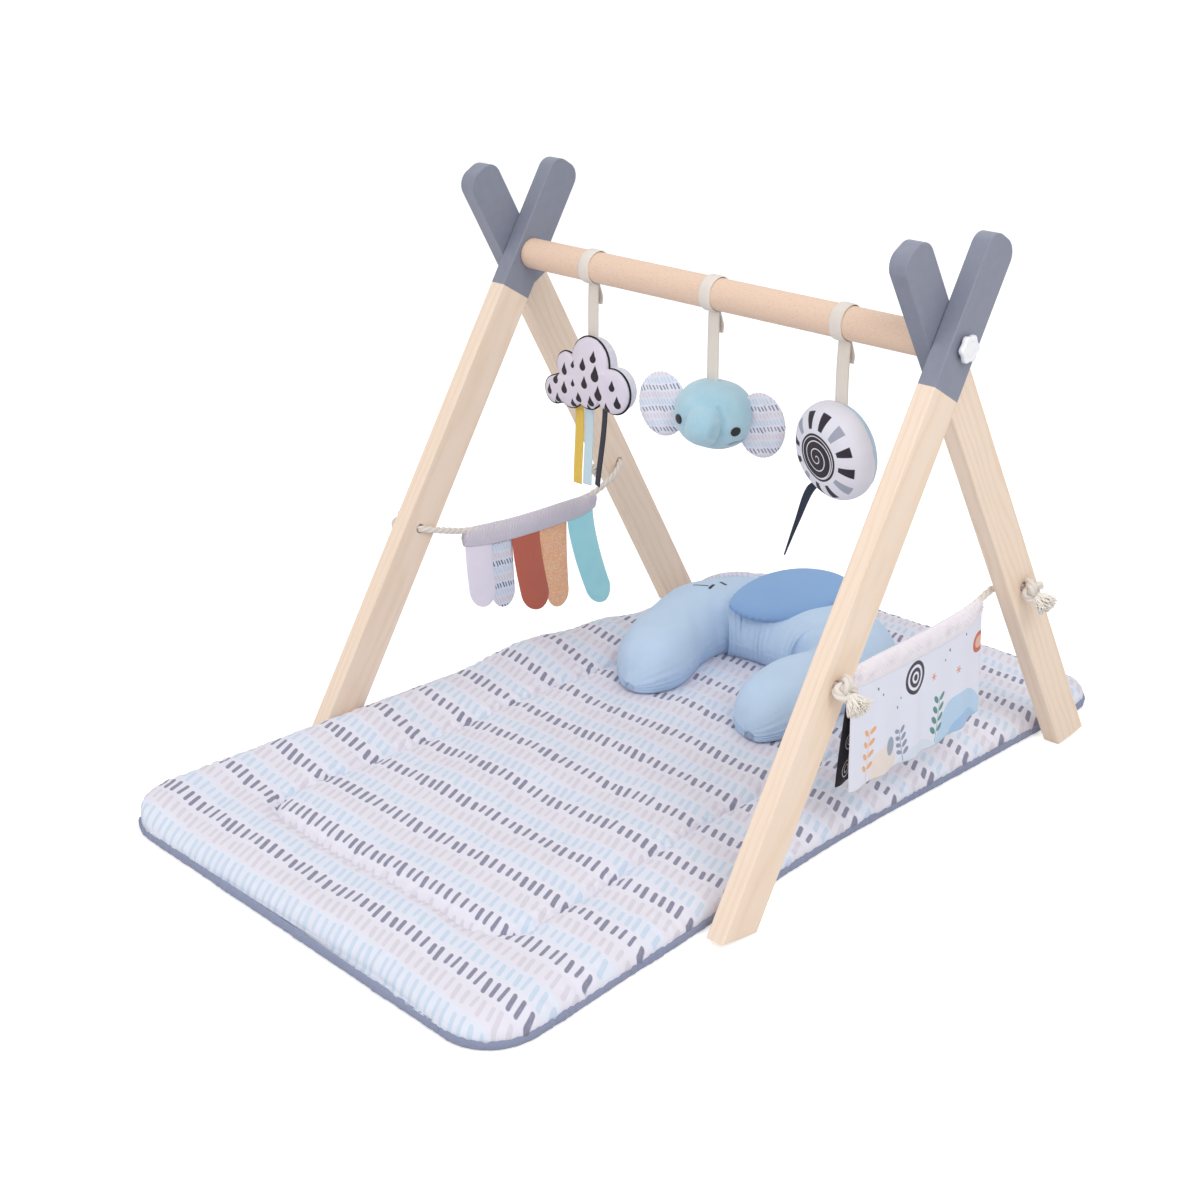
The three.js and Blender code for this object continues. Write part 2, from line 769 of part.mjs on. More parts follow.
function eye(side) {
  const at = new THREE.Vector3(side * headWide * eyePlaceShare, 0, -headTall * eyeLowerShare);
  const used = (at.x / (headWide / 2)) ** 2 + (at.z / (headTall / 2)) ** 2;
  at.y = -(headDeep / 2) * Math.sqrt(1 - used);
  const face = at
    .clone()
    .multiply(new THREE.Vector3(headWide ** -2, headDeep ** -2, headTall ** -2))
    .normalize();
  const spin = new THREE.Quaternion().setFromUnitVectors(new THREE.Vector3(0, -1, 0), face);
  const m = headPose
    .clone()
    .multiply(new THREE.Matrix4().makeTranslation(at))
    .multiply(new THREE.Matrix4().makeRotationFromQuaternion(spin))
    .multiply(place(0, -eyeThick / 2, 0));
  const button = stuffed(oval(eyeDia / 2, eyeDia / 2, 12), 2 * eyeThick, 2, eyeFullShare);
  return solid(button, m).subtract(headSolid(fitGap));
}

// Sun: a fat lens with a tapering ribbon tail sewn into its rim
const sunX = sunPlaceShare * barLength;
const sunTop = barHeight - sunDrop;
const sunMiddle = sunTop - sunDia / 2;
const sunPose = place(sunX - sunOffset, 0, sunMiddle)
  .multiply(new THREE.Matrix4().makeRotationZ(sunTurn))
  .multiply(new THREE.Matrix4().makeRotationX(sunTilt));

function sunSolid(gap) {
  const outline = oval(sunDia / 2 + gap, sunDia / 2 + gap, 30);
  return solid(stuffed(outline, sunThick + 2 * gap, 5, sunFullShare), sunPose);
}

// Middle of the tail from its seam to its tip, along X, Y and Z
const tailShares = [
  [-0.25, 0.1, -0.4],
  [-0.272, -0.02, -0.448],
  [-0.398, -0.059, -0.815],
  [-0.51, -0.098, -1.192],
];

function sunTail() {
  const points = tailShares.map((row) => new THREE.Vector3(...row).multiplyScalar(sunDia));
  const path = new THREE.CatmullRomCurve3(points);
  const steps = 8;
  const rings = Array.from({ length: steps + 1 }, (_, k) => {
    const down = k / steps;
    const half = (sunTailWide / 2) * (1 - sunTailTaperShare * down);
    const across = new THREE.Vector3(half, 0, 0);
    const through = new THREE.Vector3(0, sunTailThick / 2, 0);
    const p = path.getPoint(down);
    return [
      p.clone().sub(across).sub(through),
      p.clone().add(across).sub(through),
      p.clone().add(across).add(through),
      p.clone().sub(across).add(through),
    ];
  });
  return solid(ringSolid(rings), place(sunX - sunOffset, 0, sunMiddle)).subtract(sunSolid(fitGap));
}

// Mat outline: rounded corners, and a right side that spreads in front of the feet
const matLeft = innerFace - matLegGap;
const matRight = innerFace - matRightInset;
const flareRun = matFlareEnd - matRightFlareStart;
const matRightAt = (y) => matRight + matRightFlare * smooth((-matRightFlareStart - y) / flareRun);

function cornerInset(y) {
  const end = Math.min(y - matFront, matBack - y);
  return end < matCorner ? matCorner - Math.sqrt(matCorner ** 2 - (matCorner - end) ** 2) : 0;
}

// Distance in from a rounded rectangle with the given corner
function depthIn(toSide, toEnd, corner) {
  if (toSide > corner || toEnd > corner) return Math.min(toSide, toEnd);
  return corner - Math.hypot(corner - toSide, corner - toEnd);
}

function matTop(x, y) {
  const toSide = Math.min(x + matLeft, matRightAt(y) - x);
  const toEnd = Math.min(y - matFront, matBack - y);
  const inFromEdge = Math.min(Math.max(depthIn(toSide, toEnd, matCorner), 0) / matRoll, 1);
  const crown = matRim + (matThick - matRim) * Math.sqrt(1 - (1 - inFromEdge) ** 2);
  const fromSeam = depthIn(toSide - quiltInset, toEnd - quiltInset, quiltCorner) / quiltWide;
  const nearLeft = 1 - smooth((x + matLeft) / quiltInset);
  const wave = 1 - smooth(Math.abs(y - matLeftWaveY) / (matLeftWaveLength / 2));
  const raised = smooth((matLeftLiftEnd - y) / matLeftLiftFade);
  const lift = nearLeft * (matLeftLift * raised + matLeftWave * wave);
  return crown - quiltDepth * Math.exp(-(fromSeam ** 2)) + lift;
}

function spaced(from, to, edge, middles) {
  const ends = edge.map((d) => from + d);
  const backs = edge.map((d) => to - d).reverse();
  const [low, high] = [ends[ends.length - 1], backs[0]];
  const inner = Array.from({ length: middles }, (_, i) => low + ((high - low) * (i + 1)) / (middles + 1));
  return [...ends, ...inner, ...backs];
}

// The front right corner is drawn out past the rounded outline
function pulled(p) {
  const away = Math.hypot(p.x - matRight - matRightFlare, p.y - matFront);
  const share = 1 - smooth(away / matCornerPullReach);
  return p.add(new THREE.Vector3(matCornerPullX, matCornerPullY, 0).multiplyScalar(share));
}

function matPad() {
  const cornerSteps = matCornerShares.map((share) => share * matCorner);
  const seamSteps = matSeamShares.map((share) => quiltInset + share * quiltWide);
  const rows = spaced(matFront, matBack, [...cornerSteps, ...seamSteps], 9);
  const sideSteps = matRollShares.map((share) => share * matRoll);
  const columns = spaced(-matLeft, matRight, [...sideSteps, ...seamSteps], 3);
  const across = columns.map((x) => (x + matLeft) / (matLeft + matRight));
  const base = backingThick + fitGap;
  const xAt = (share, y) => {
    const inset = cornerInset(y);
    return THREE.MathUtils.lerp(-matLeft + inset, matRightAt(y) - inset, share);
  };
  const rings = rows.map((y) => {
    const top = across.map((share) => {
      const x = xAt(share, y);
      return new THREE.Vector3(x, y, matTop(x, y));
    });
    return [
      new THREE.Vector3(xAt(0, y), y, base),
      ...top,
      new THREE.Vector3(xAt(1, y), y, base),
      new THREE.Vector3(xAt(1 / 2, y), y, base),
    ].map(pulled);
  });
  return ringSolid(rings);
}

function matBacking() {
  const cornerSteps = matCornerShares.map((share) => share * matCorner);
  const rows = spaced(matFront, matBack, cornerSteps, 8);
  const left = rows.map((y) => new THREE.Vector3(-matLeft + cornerInset(y), y, 0));
  const right = rows.map((y) => new THREE.Vector3(matRightAt(y) - cornerInset(y), y, 0)).reverse();
  return new THREE.ExtrudeGeometry(new THREE.Shape([...left, ...right].map(pulled)), {
    depth: backingThick,
    bevelEnabled: false,
  });
}

// Cushion: a stuffed U, from the trunk's tip round the body to the leg's tip. Its side stands steep
// from the floor to a seam, and a broad dome rises above the seam.
// Each row is a place along X and Y, a half width and a height, as shares of the cushion's sizes.
const cushionShares = [
  [-0.252, -0.662, 0.062, 0.301],
  [-0.252, -0.633, 0.196, 0.521],
  [-0.257, -0.576, 0.304, 0.699],
  [-0.276, -0.476, 0.375, 0.808],
  [-0.329, -0.343, 0.393, 0.849],
  [-0.395, -0.181, 0.402, 0.863],
  [-0.433, 0, 0.446, 0.932],
  [-0.41, 0.176, 0.5, 0.986],
  [-0.262, 0.319, 0.571, 1],
  [-0.062, 0.386, 0.607, 1],
  [0.176, 0.39, 0.607, 0.986],
  [0.405, 0.333, 0.571, 0.932],
  [0.529, 0.19, 0.446, 0.863],
  [0.557, 0, 0.384, 0.822],
  [0.552, -0.181, 0.366, 0.822],
  [0.552, -0.343, 0.384, 0.822],
  [0.562, -0.462, 0.375, 0.781],
  [0.576, -0.562, 0.295, 0.658],
  [0.586, -0.629, 0.188, 0.479],
  [0.586, -0.657, 0.062, 0.301],
];
const cushionBase = matThick + fitGap;

function cushion(gap) {
  const sides = 20;
  const rows = cushionShares.map(([x, y, wide, tall]) => ({
    at: new THREE.Vector3(cushionX + x * cushionSpan, cushionY + y * cushionSpan, 0),
    wide: wide * cushionWide + gap,
    tall: tall * cushionTall + gap,
  }));
  const rings = rows.map((row, i) => {
    const before = rows[Math.max(i - 1, 0)].at;
    const after = rows[Math.min(i + 1, rows.length - 1)].at;
    const way = after.clone().sub(before).normalize();
    const side = new THREE.Vector3(way.y, -way.x, 0);
    return turns(sides).map((t) => {
      const up = Math.sin(t);
      const power = up > 0 ? cushionSidePower : cushionFootPower;
      const out = Math.sign(Math.cos(t)) * Math.abs(Math.cos(t)) ** power;
      const dome = cushionSeamShare + (1 - cushionSeamShare) * Math.abs(up) ** cushionTopPower;
      const foot = cushionSeamShare * (1 + (1 + cushionFlatShare) * up);
      const z = up > 0 ? row.tall * dome : Math.max(row.tall * foot, -gap);
      return row.at.clone().addScaledVector(side, out * row.wide).setZ(cushionBase + z);
    });
  });
  return solid(ringSolid(rings));
}

// The ears are stuffed leaves. One lies over the body and droops to the front, the other hangs behind.
function cushionEar(long, wide, thick, [xShare, yShare, upShare], [turn, tip, roll]) {
  const outline = turns(28).map((t) => {
    const along = Math.cos(t);
    const half = (wide / 2) * (1 - along ** 2) ** cushionEarSidePower;
    return new THREE.Vector2((long / 2) * along, Math.sign(Math.sin(t)) * half);
  });
  const x = cushionX + xShare * cushionSpan;
  const y = cushionY + yShare * cushionSpan;
  const m = place(x, y, cushionBase + upShare * cushionTall)
    .multiply(new THREE.Matrix4().makeRotationZ(turn))
    .multiply(new THREE.Matrix4().makeRotationX(tip))
    .multiply(new THREE.Matrix4().makeRotationY(roll));
  const leaf = stuffed(outline, thick, 4, cushionEarFullShare);
  return solid(leaf, m).subtract(cushion(fitGap));
}

// Assembly. What is made for one side is turned half a turn about Z for the other.
const turned = new THREE.Group();
turned.rotation.z = Math.PI;
gym.add(turned);

add("crossbar", crossbar(), beech());
add("right_outer_leg", board(outerInner), pine());
add("left_inner_leg", board(-innerFace - boardThick), pine());
add("left_outer_leg", board(outerInner), pine(), turned);
add("right_inner_leg", board(-innerFace - boardThick), pine(), turned);

const sides = [
  ["right", gym, rightPath, rightTasselTilt],
  ["left", turned, leftPath, leftTasselTilt],
];
for (const [side, parent, path, tilt] of sides) {
  add(side + "_threaded_insert", threadedInsert(), brass(), parent);
  add(side + "_star_knob", starKnob(), whitePlastic(), parent);
  add(side + "_knob_stud", stud(), steel(), parent);
  add(side + "_washer", washer(), steel(), parent);
  add(side + "_rope", rope(path, ropeRadius), cotton(0xe9dfca), parent);
  const outerKnot = endKnot(path, outerFace, -holeY, tilt);
  const innerKnot = endKnot(path, innerFace + boardThick, holeY, tilt);
  add(side + "_outer_leg_knot", outerKnot, cotton(0xeee5d3), parent);
  add(side + "_inner_leg_knot", innerKnot, cotton(0xeee5d3), parent);
}

const casing = ropeSheath(rightPath, casingStart, casingLength, casingHeight, casingThick);
add("banner_casing", casing, cotton(0xe6e0ec));
add("banner_outer_flap", flap(flapFoldDepth, 0), cotton(0xe8ecf7));
add("banner_inner_flap", flap(-flapSplay, innerFlapFoldShift), cotton(0x2b2530));

const sleeveTurnedStart = -sleeveStart - sleeveLength;
const sleeve = ropeSheath(leftPath, sleeveTurnedStart, sleeveLength, sleeveHeight, sleeveThick);
add("bunting_sleeve", sleeve, cotton(0xd8d0e0), turned);
const tabColors = [0xd9d3e4, 0xc9d3ea, 0xb25f50, 0xdfae84, 0x8fcbd6];
tabColors.forEach((color, i) => add("bunting_tab_" + (i + 1), tab(i), cotton(color), turned));

const hung = [
  ["cloud", cloudX + cloudStrapOffset, cloudTop, cloudBody(fitGap)],
  ["elephant", elephantX, headTop, headSolid(fitGap)],
  ["sun", sunX + sunStrapOffset, sunTop, sunSolid(fitGap)],
];
for (const [toy, x, top, body] of hung) {
  add(toy + "_bar_loop", barLoop(x), cotton(0xf0eadc));
  add(toy + "_strap", strap(x, top, body), cotton(0xf0eadc));
}
add("cloud_body", cloudBody(0), cotton(0xe3dee9));
const ribbonColors = { yellow: 0xe8c95a, blue: 0xc5e2ea, navy: 0x27304a };
Object.keys(ribbonColors).forEach((name, i) =>
  add("cloud_ribbon_" + name, ribbon(i), cotton(ribbonColors[name])),
);
add("elephant_head", headSolid(0), cotton(0x9fd3e3));
add("elephant_trunk", trunk(), cotton(0x9fd3e3));
add("elephant_ear_left", ear(-1), cotton(0xdfe6f3));
add("elephant_ear_right", ear(1), cotton(0xdfe6f3));
add("elephant_eye_left", eye(-1), finish(0x1c1c20, 0.4));
add("elephant_eye_right", eye(1), finish(0x1c1c20, 0.4));
add("sun_body", sunSolid(0), cotton(0xe6e6ee));
add("sun_tail", sunTail(), cotton(0x252d40));

add("mat_pad", matPad(), cotton(0xe2e2ee));
add("mat_backing", matBacking(), cotton(0x7f88a0));
add("cushion_body", cushion(0), cotton(0xb4d4ee));
const nearEar = [cushionEarLong, cushionEarWide, cushionEarThick, cushionEarPlaceShares, cushionEarTurns];
const farEar = [
  cushionFarEarLong,
  cushionFarEarWide,
  cushionFarEarThick,
  cushionFarEarPlaceShares,
  cushionFarEarTurns,
];
add("cushion_ear", cushionEar(...nearEar), cotton(0x8fb8e0));
add("cushion_far_ear", cushionEar(...farEar), cotton(0xdcd8e4));

export default gym;
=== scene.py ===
# %% [markdown]
# An activity play gym, dressed piece by piece on its fixed frame.
# The frame gives every place and every joint in metres. Here each visible piece is shaped again as its maker
# would know it, in millimetres, and gets its wood, rope, cloth or paint.

import math

import bpy
import numpy as np
from mathutils import Matrix, Vector


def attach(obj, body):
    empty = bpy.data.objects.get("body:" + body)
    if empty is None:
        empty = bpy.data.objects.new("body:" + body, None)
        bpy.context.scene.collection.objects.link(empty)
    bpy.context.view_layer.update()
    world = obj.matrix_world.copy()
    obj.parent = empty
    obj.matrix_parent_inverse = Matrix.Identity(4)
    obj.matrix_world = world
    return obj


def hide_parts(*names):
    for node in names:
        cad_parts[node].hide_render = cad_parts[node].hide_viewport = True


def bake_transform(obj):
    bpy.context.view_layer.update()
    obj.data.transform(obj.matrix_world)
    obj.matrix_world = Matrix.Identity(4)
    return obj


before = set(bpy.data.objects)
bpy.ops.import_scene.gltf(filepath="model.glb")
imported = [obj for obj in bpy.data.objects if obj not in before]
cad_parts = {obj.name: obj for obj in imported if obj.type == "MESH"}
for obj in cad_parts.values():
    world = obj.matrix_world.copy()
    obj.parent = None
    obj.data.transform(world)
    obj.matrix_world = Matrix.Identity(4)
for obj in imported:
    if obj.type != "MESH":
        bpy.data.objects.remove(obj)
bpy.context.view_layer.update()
mm = 0.001

# %% [markdown]
# The camera comes first. It stands in front of the right A-frame at about seat height and looks down along
# the mat. Its place and angle were solved from the frame's corners and the feet.

# %% Camera
view = bpy.data.cameras.new("photo_view")
view.lens = 58.72
view.sensor_width = 36.0
view.shift_y = -0.1333
view.clip_start = 0.05
camera = bpy.data.objects.new("photo_view", view)
bpy.context.scene.collection.objects.link(camera)
right_way = Vector((0.7100879, 0.7040095, 0.0120751))
down_way = Vector((0.2150059, -0.2004683, -0.9558164))
front_way = Vector((-0.6704832, 0.6813098, -0.2937163))
camera.matrix_world = Matrix.Translation((1.29869, -1.48115, 0.94236)) @ Matrix(
    (right_way, -down_way, -front_way)
).transposed().to_4x4()
bpy.context.scene.camera = camera
print("lens", view.lens, "mm, upward shift", view.shift_y)

# %% [markdown]
# A pale sweep of paper, a big soft lamp on the viewer's right and two weaker ones, as in a catalogue studio.
# The floor is paper white to the eye, and it still takes the object's soft shadow.


# %% Floor, lamps and room light
def linear(code):
    """Linear colour of a written code: c / 12.92 up to 0.04045, and ((c + 0.055) / 1.055) ** 2.4 above."""
    c = np.array([int(code[i : i + 2], 16) for i in (0, 2, 4)]) / 255
    return (*np.where(c <= 0.04045, c / 12.92, ((c + 0.055) / 1.055) ** 2.4), 1.0)


def lamp(name, place, aim, size, power):
    """A square soft lamp at a place, turned to look at aim, in metres and watts."""
    data = bpy.data.lights.new(name, "AREA")
    data.size = size
    data.energy = power
    made = bpy.data.objects.new(name, data)
    bpy.context.scene.collection.objects.link(made)
    made.location = place
    made.rotation_euler = (Vector(aim) - Vector(place)).to_track_quat("-Z", "Y").to_euler()
    return made


def paper(name, brightness):
    """White that shows as paper to the camera and to glossy or clear things, and shades like matt paint."""
    material = bpy.data.materials.new(name)
    material.use_nodes = True
    tree = material.node_tree
    tree.nodes.clear()
    add = lambda kind: tree.nodes.new("ShaderNode" + kind)
    out, total, matt, glow, path = (
        add(k) for k in ("OutputMaterial", "AddShader", "BsdfDiffuse", "Emission", "LightPath")
    )
    matt.inputs["Color"].default_value = (0.82, 0.82, 0.82, 1)
    seen = add("Math")
    seen.operation = "MAXIMUM"
    also = add("Math")
    also.operation = "MAXIMUM"
    strength = add("Math")
    strength.operation = "MULTIPLY"
    strength.inputs[1].default_value = brightness
    tree.links.new(path.outputs["Is Camera Ray"], seen.inputs[0])
    tree.links.new(path.outputs["Is Glossy Ray"], seen.inputs[1])
    tree.links.new(seen.outputs[0], also.inputs[0])
    tree.links.new(path.outputs["Is Transmission Ray"], also.inputs[1])
    tree.links.new(also.outputs[0], strength.inputs[0])
    tree.links.new(strength.outputs[0], glow.inputs["Strength"])
    tree.links.new(matt.outputs[0], total.inputs[0])
    tree.links.new(glow.outputs[0], total.inputs[1])
    tree.links.new(total.outputs[0], out.inputs["Surface"])
    return material


def sweep(half, rise, bend, steps):
    """Floor and wall in one sheet: flat, then a quarter turn of radius bend, then straight up by rise."""
    turn = np.linspace(0, np.pi / 2, steps)
    run = np.concatenate([[-half], half + bend * np.sin(turn), [half + bend]])
    up = np.concatenate([[0], bend * (1 - np.cos(turn)), [bend + rise]])
    across = np.array([-half * 2, half * 2])
    places = np.array([[a, r, u] for r, u in zip(run, up) for a in across]) - [0, 0, 0.0005]
    faces = [(2 * i, 2 * i + 1, 2 * i + 3, 2 * i + 2) for i in range(len(run) - 1)]
    mesh = bpy.data.meshes.new("paper_sweep")
    mesh.from_pydata(places.tolist(), [], faces)
    mesh.shade_smooth()
    made = bpy.data.objects.new("paper_sweep", mesh)
    made.matrix_world = Matrix.Rotation(math.radians(44.5), 4, "Z")
    bpy.context.scene.collection.objects.link(made)
    mesh.materials.append(paper("studio_paper", 0.50))
    return made


sweep(3.5, 3.0, 1.2, 12)
lamp("right_lamp", (1.9, -0.7, 2.1), (0, -0.05, 0.2), 1.6, 27)
lamp("front_lamp", (-0.5, -2.6, 1.7), (0, 0, 0.2), 2.2, 20)
lamp("top_lamp", (-0.5, 0.6, 2.8), (0, 0, 0.1), 2.4, 13)
room = bpy.data.worlds.new("studio_room")
room.use_nodes = True
nodes, links = room.node_tree.nodes, room.node_tree.links
nodes["Background"].inputs["Color"].default_value = (1, 1, 1, 1)
path, either, any_of, level = (nodes.new("ShaderNode" + k) for k in ("LightPath", "Math", "Math", "Math"))
either.operation = any_of.operation = "MAXIMUM"
level.operation = "MULTIPLY_ADD"
level.inputs[1].default_value, level.inputs[2].default_value = 0.38, 0.62
links.new(path.outputs["Is Camera Ray"], either.inputs[0])
links.new(path.outputs["Is Glossy Ray"], either.inputs[1])
links.new(either.outputs[0], any_of.inputs[0])
links.new(path.outputs["Is Transmission Ray"], any_of.inputs[1])
links.new(any_of.outputs[0], level.inputs[0])
links.new(level.outputs[0], nodes["Background"].inputs["Strength"])
bpy.context.scene.world = room
bpy.context.scene.view_settings.view_transform = "Standard"
print("three lamps, and a room light of 0.62 that the camera sees as white")

# %% [markdown]
# Cloth prints and wood grain are drawn with plain sums of the place on the piece. A Field is a number that
# changes over a surface, and adding or multiplying fields builds the material's own nodes, so each pattern
# below reads as the formula that it is and stays sharp at any distance.


# %% Fields and paints
class Field:
    """A number that varies over a surface. Each sum or product of fields adds one node to its paint."""

    def __init__(self, paint, socket):
        self.paint = paint
        self.socket = socket

    def __add__(self, other):
        return self.paint.math("ADD", self, other)

    def __radd__(self, other):
        return self.paint.math("ADD", other, self)

    def __sub__(self, other):
        return self.paint.math("SUBTRACT", self, other)

    def __rsub__(self, other):
        return self.paint.math("SUBTRACT", other, self)

    def __mul__(self, other):
        return self.paint.math("MULTIPLY", self, other)

    def __rmul__(self, other):
        return self.paint.math("MULTIPLY", other, self)

    def __truediv__(self, other):
        return self.paint.math("DIVIDE", self, other)

    def __pow__(self, other):
        return self.paint.math("POWER", self, other)

    def __abs__(self):
        return self.paint.math("ABSOLUTE", self)

    def root(self):
        return self.paint.math("SQRT", self)

    def floor(self):
        return self.paint.math("FLOOR", self)

    def sine(self):
        return self.paint.math("SINE", self)

    def least(self, other):
        return self.paint.math("MINIMUM", self, other)

    def most(self, other):
        return self.paint.math("MAXIMUM", self, other)

    def over(self, other):
        return self.paint.math("GREATER_THAN", self, other)


class Paint:
    """One material. Its lists of colour and height are built from fields in millimetres."""

    def __init__(self, name, code, roughness=0.9, **plain):
        self.material = bpy.data.materials.new(name)
        self.material.use_nodes = True
        self.tree = self.material.node_tree
        self.shader = self.tree.nodes["Principled BSDF"]
        self.shader.inputs["Base Color"].default_value = linear(code)
        self.shader.inputs["Roughness"].default_value = roughness
        for key, value in plain.items():
            self.shader.inputs[key.replace("_", " ").title()].default_value = value

    def add(self, kind):
        return self.tree.nodes.new("ShaderNode" + kind)

    def give(self, socket, value):
        value = value.socket if isinstance(value, Field) else value
        if isinstance(value, bpy.types.NodeSocket):
            self.tree.links.new(value, socket)
        else:
            socket.default_value = value

    def math(self, operation, *values, clamp=False):
        node = self.add("Math")
        node.operation = operation
        node.use_clamp = clamp
        for socket, value in zip(node.inputs, values):
            self.give(socket, value)
        return Field(self, node.outputs[0])

    def split(self, socket, scale=1.0):
        node = self.add("SeparateXYZ")
        self.tree.links.new(socket, node.inputs[0])
        return [Field(self, out) * scale for out in node.outputs]

    def cloth(self):
        """Place on the cloth: along, across, and a mark that tells the sides apart, in millimetres."""
        node = self.add("Attribute")
        node.attribute_name = "cloth"
        return self.split(node.outputs["Vector"])

    def place(self):
        """Place in the room at rest, in millimetres."""
        return self.split(self.add("TexCoord").outputs["Object"], 1000.0)

    def vector(self, x, y, z=0.0):
        node = self.add("CombineXYZ")
        for socket, value in zip(node.inputs, (x, y, z)):
            self.give(socket, value)
        return node.outputs[0]

    def noise(self, x, y, z=0.0, detail=2.0):
        """Soft noise from 0 to 1 with bumps about one unit wide."""
        node = self.add("TexNoise")
        node.inputs["Scale"].default_value = 1.0
        node.inputs["Detail"].default_value = detail
        self.tree.links.new(self.vector(x, y, z), node.inputs["Vector"])
        return Field(self, node.outputs[0])

    def chance(self, x, y, z=0.0):
        """A plain random number from 0 to 1 for each whole place."""
        node = self.add("TexWhiteNoise")
        self.tree.links.new(self.vector(x, y, z), node.inputs["Vector"])
        return Field(self, node.outputs["Value"])

    def inside(self, distance, soft=0.25):
        """1 inside a shape and 0 outside it, clamp(1/2 - distance / (2 soft))."""
        return self.math("SUBTRACT", 0.5, distance * (0.5 / soft), clamp=True)

    def mixed(self, amount, first, second):
        """first where amount is 0 and second where it is 1."""
        node = self.add("Mix")
        node.data_type = "RGBA"
        for index, value in ((0, amount), (6, first), (7, second)):
            self.give(node.inputs[index], linear(value) if isinstance(value, str) else value)
        return node.outputs[2]

    def coloured(self, socket):
        self.give(self.shader.inputs["Base Color"], socket)
        return self

    def rough(self, field):
        self.give(self.shader.inputs["Roughness"], field)
        return self

    def raised(self, height, strength=1.0):
        """Bumps of a height in millimetres."""
        node = self.add("Bump")
        node.inputs["Distance"].default_value = mm
        node.inputs["Strength"].default_value = strength
        self.give(node.inputs["Height"], height)
        self.tree.links.new(node.outputs[0], self.shader.inputs["Normal"])
        return self


def oval_distance(x, y, wide, tall):
    """Distance to an oval's edge, near enough: (sqrt((x/a)^2 + (y/b)^2) - 1) times the smaller half size."""
    a, b = wide / 2, tall / 2
    return ((x / a) * (x / a) + (y / b) * (y / b)).root() * min(a, b) - min(a, b)


def stroke_distance(x, y, start, end, width):
    """Distance to a round-ended line: to the nearest point of the line, less half the width."""
    start, end = np.array(start, float), np.array(end, float)
    way = end - start
    long = float(np.hypot(*way))
    c, s = way / long
    along = (x - float(start[0])) * c + (y - float(start[1])) * s
    off = (y - float(start[1])) * c - (x - float(start[0])) * s
    past = (along * -1.0).most(along - long).most(0.0)
    return (past * past + off * off).root() - width / 2


def weave(paint, u, v, thread=0.7, height=0.05):
    """A plain weave: height times the product of two sines a thread apart, with soft slubs."""
    turn = 2 * math.pi / thread
    return (u * turn).sine() * (v * turn).sine() * height + paint.noise(u * 0.5, v * 0.5) * (height * 3)


print("fields and paints are ready")

# %% [markdown]
# Each surface is a grid of places worked out with a formula. The same few makers join a grid into a closed
# skin: rings for stuffed and swept pieces, and two faces with a rim for cloth that has a thickness.


# %% Makers of closed skins
def make(name, places, groups, cloth):
    """One mesh with its faces outward: the volume, the sum of a . (b x c) / 6, is made positive."""
    places = np.asarray(places, float) * mm
    fans = np.vstack([g[:, [0, k, k + 1]] for g in groups for k in range(1, g.shape[1] - 1)])
    a, b, c = (places[fans[:, k]] for k in range(3))
    if np.einsum("ij,ij->i", a, np.cross(b, c)).sum() < 0:
        groups = [g[:, ::-1] for g in groups]
        cloth = [u[:, ::-1] for u in cloth]
    corners = np.concatenate([g.ravel() for g in groups])
    sizes = np.concatenate([np.full(len(g), g.shape[1]) for g in groups])
    mesh = bpy.data.meshes.new(name)
    mesh.vertices.add(len(places))
    mesh.vertices.foreach_set("co", places.ravel())
    mesh.loops.add(len(corners))
    mesh.loops.foreach_set("vertex_index", corners.astype(np.int32))
    mesh.polygons.add(len(sizes))
    mesh.polygons.foreach_set("loop_start", (np.cumsum(sizes) - sizes).astype(np.int32))
    mesh.update(calc_edges=True)
    layer = mesh.attributes.new("cloth", "FLOAT_VECTOR", "CORNER")
    layer.data.foreach_set("vector", np.concatenate([u.reshape(-1, 3) for u in cloth]).ravel())
    mesh.shade_smooth()
    made = bpy.data.objects.new(name, mesh)
    bpy.context.scene.collection.objects.link(made)
    return made


def corner_marks(marks, rows, cols, wrap):
    """The cloth place of each corner of the grid's squares."""
    i, j = np.meshgrid(np.arange(rows - 1), np.arange(cols if wrap else cols - 1), indexing="ij")
    i, j = i.ravel(), j.ravel()
    return np.stack([marks[i, j], marks[i, j + 1], marks[i + 1, j + 1], marks[i + 1, j]], 1)


def squares(rows, cols, wrap, start=0):
    """Corner numbers of the grid's squares, row by row."""
    i, j = np.meshgrid(np.arange(rows - 1), np.arange(cols if wrap else cols - 1), indexing="ij")
    i, j = i.ravel(), j.ravel()
    k = (j + 1) % cols
    return start + np.stack([i * cols + j, i * cols + k, (i + 1) * cols + k, (i + 1) * cols + j], 1)


def full_marks(marks, rows, cols):
    """Marks of two or three numbers for every row and every column and one more."""
    if marks is None:
        u, v = np.meshgrid(np.arange(rows, dtype=float), np.arange(cols + 1, dtype=float), indexing="ij")
        marks = np.stack([u, v], -1)
    if marks.shape[-1] == 2:
        marks = np.concatenate([marks, np.zeros(marks.shape[:2] + (1,))], -1)
    return marks


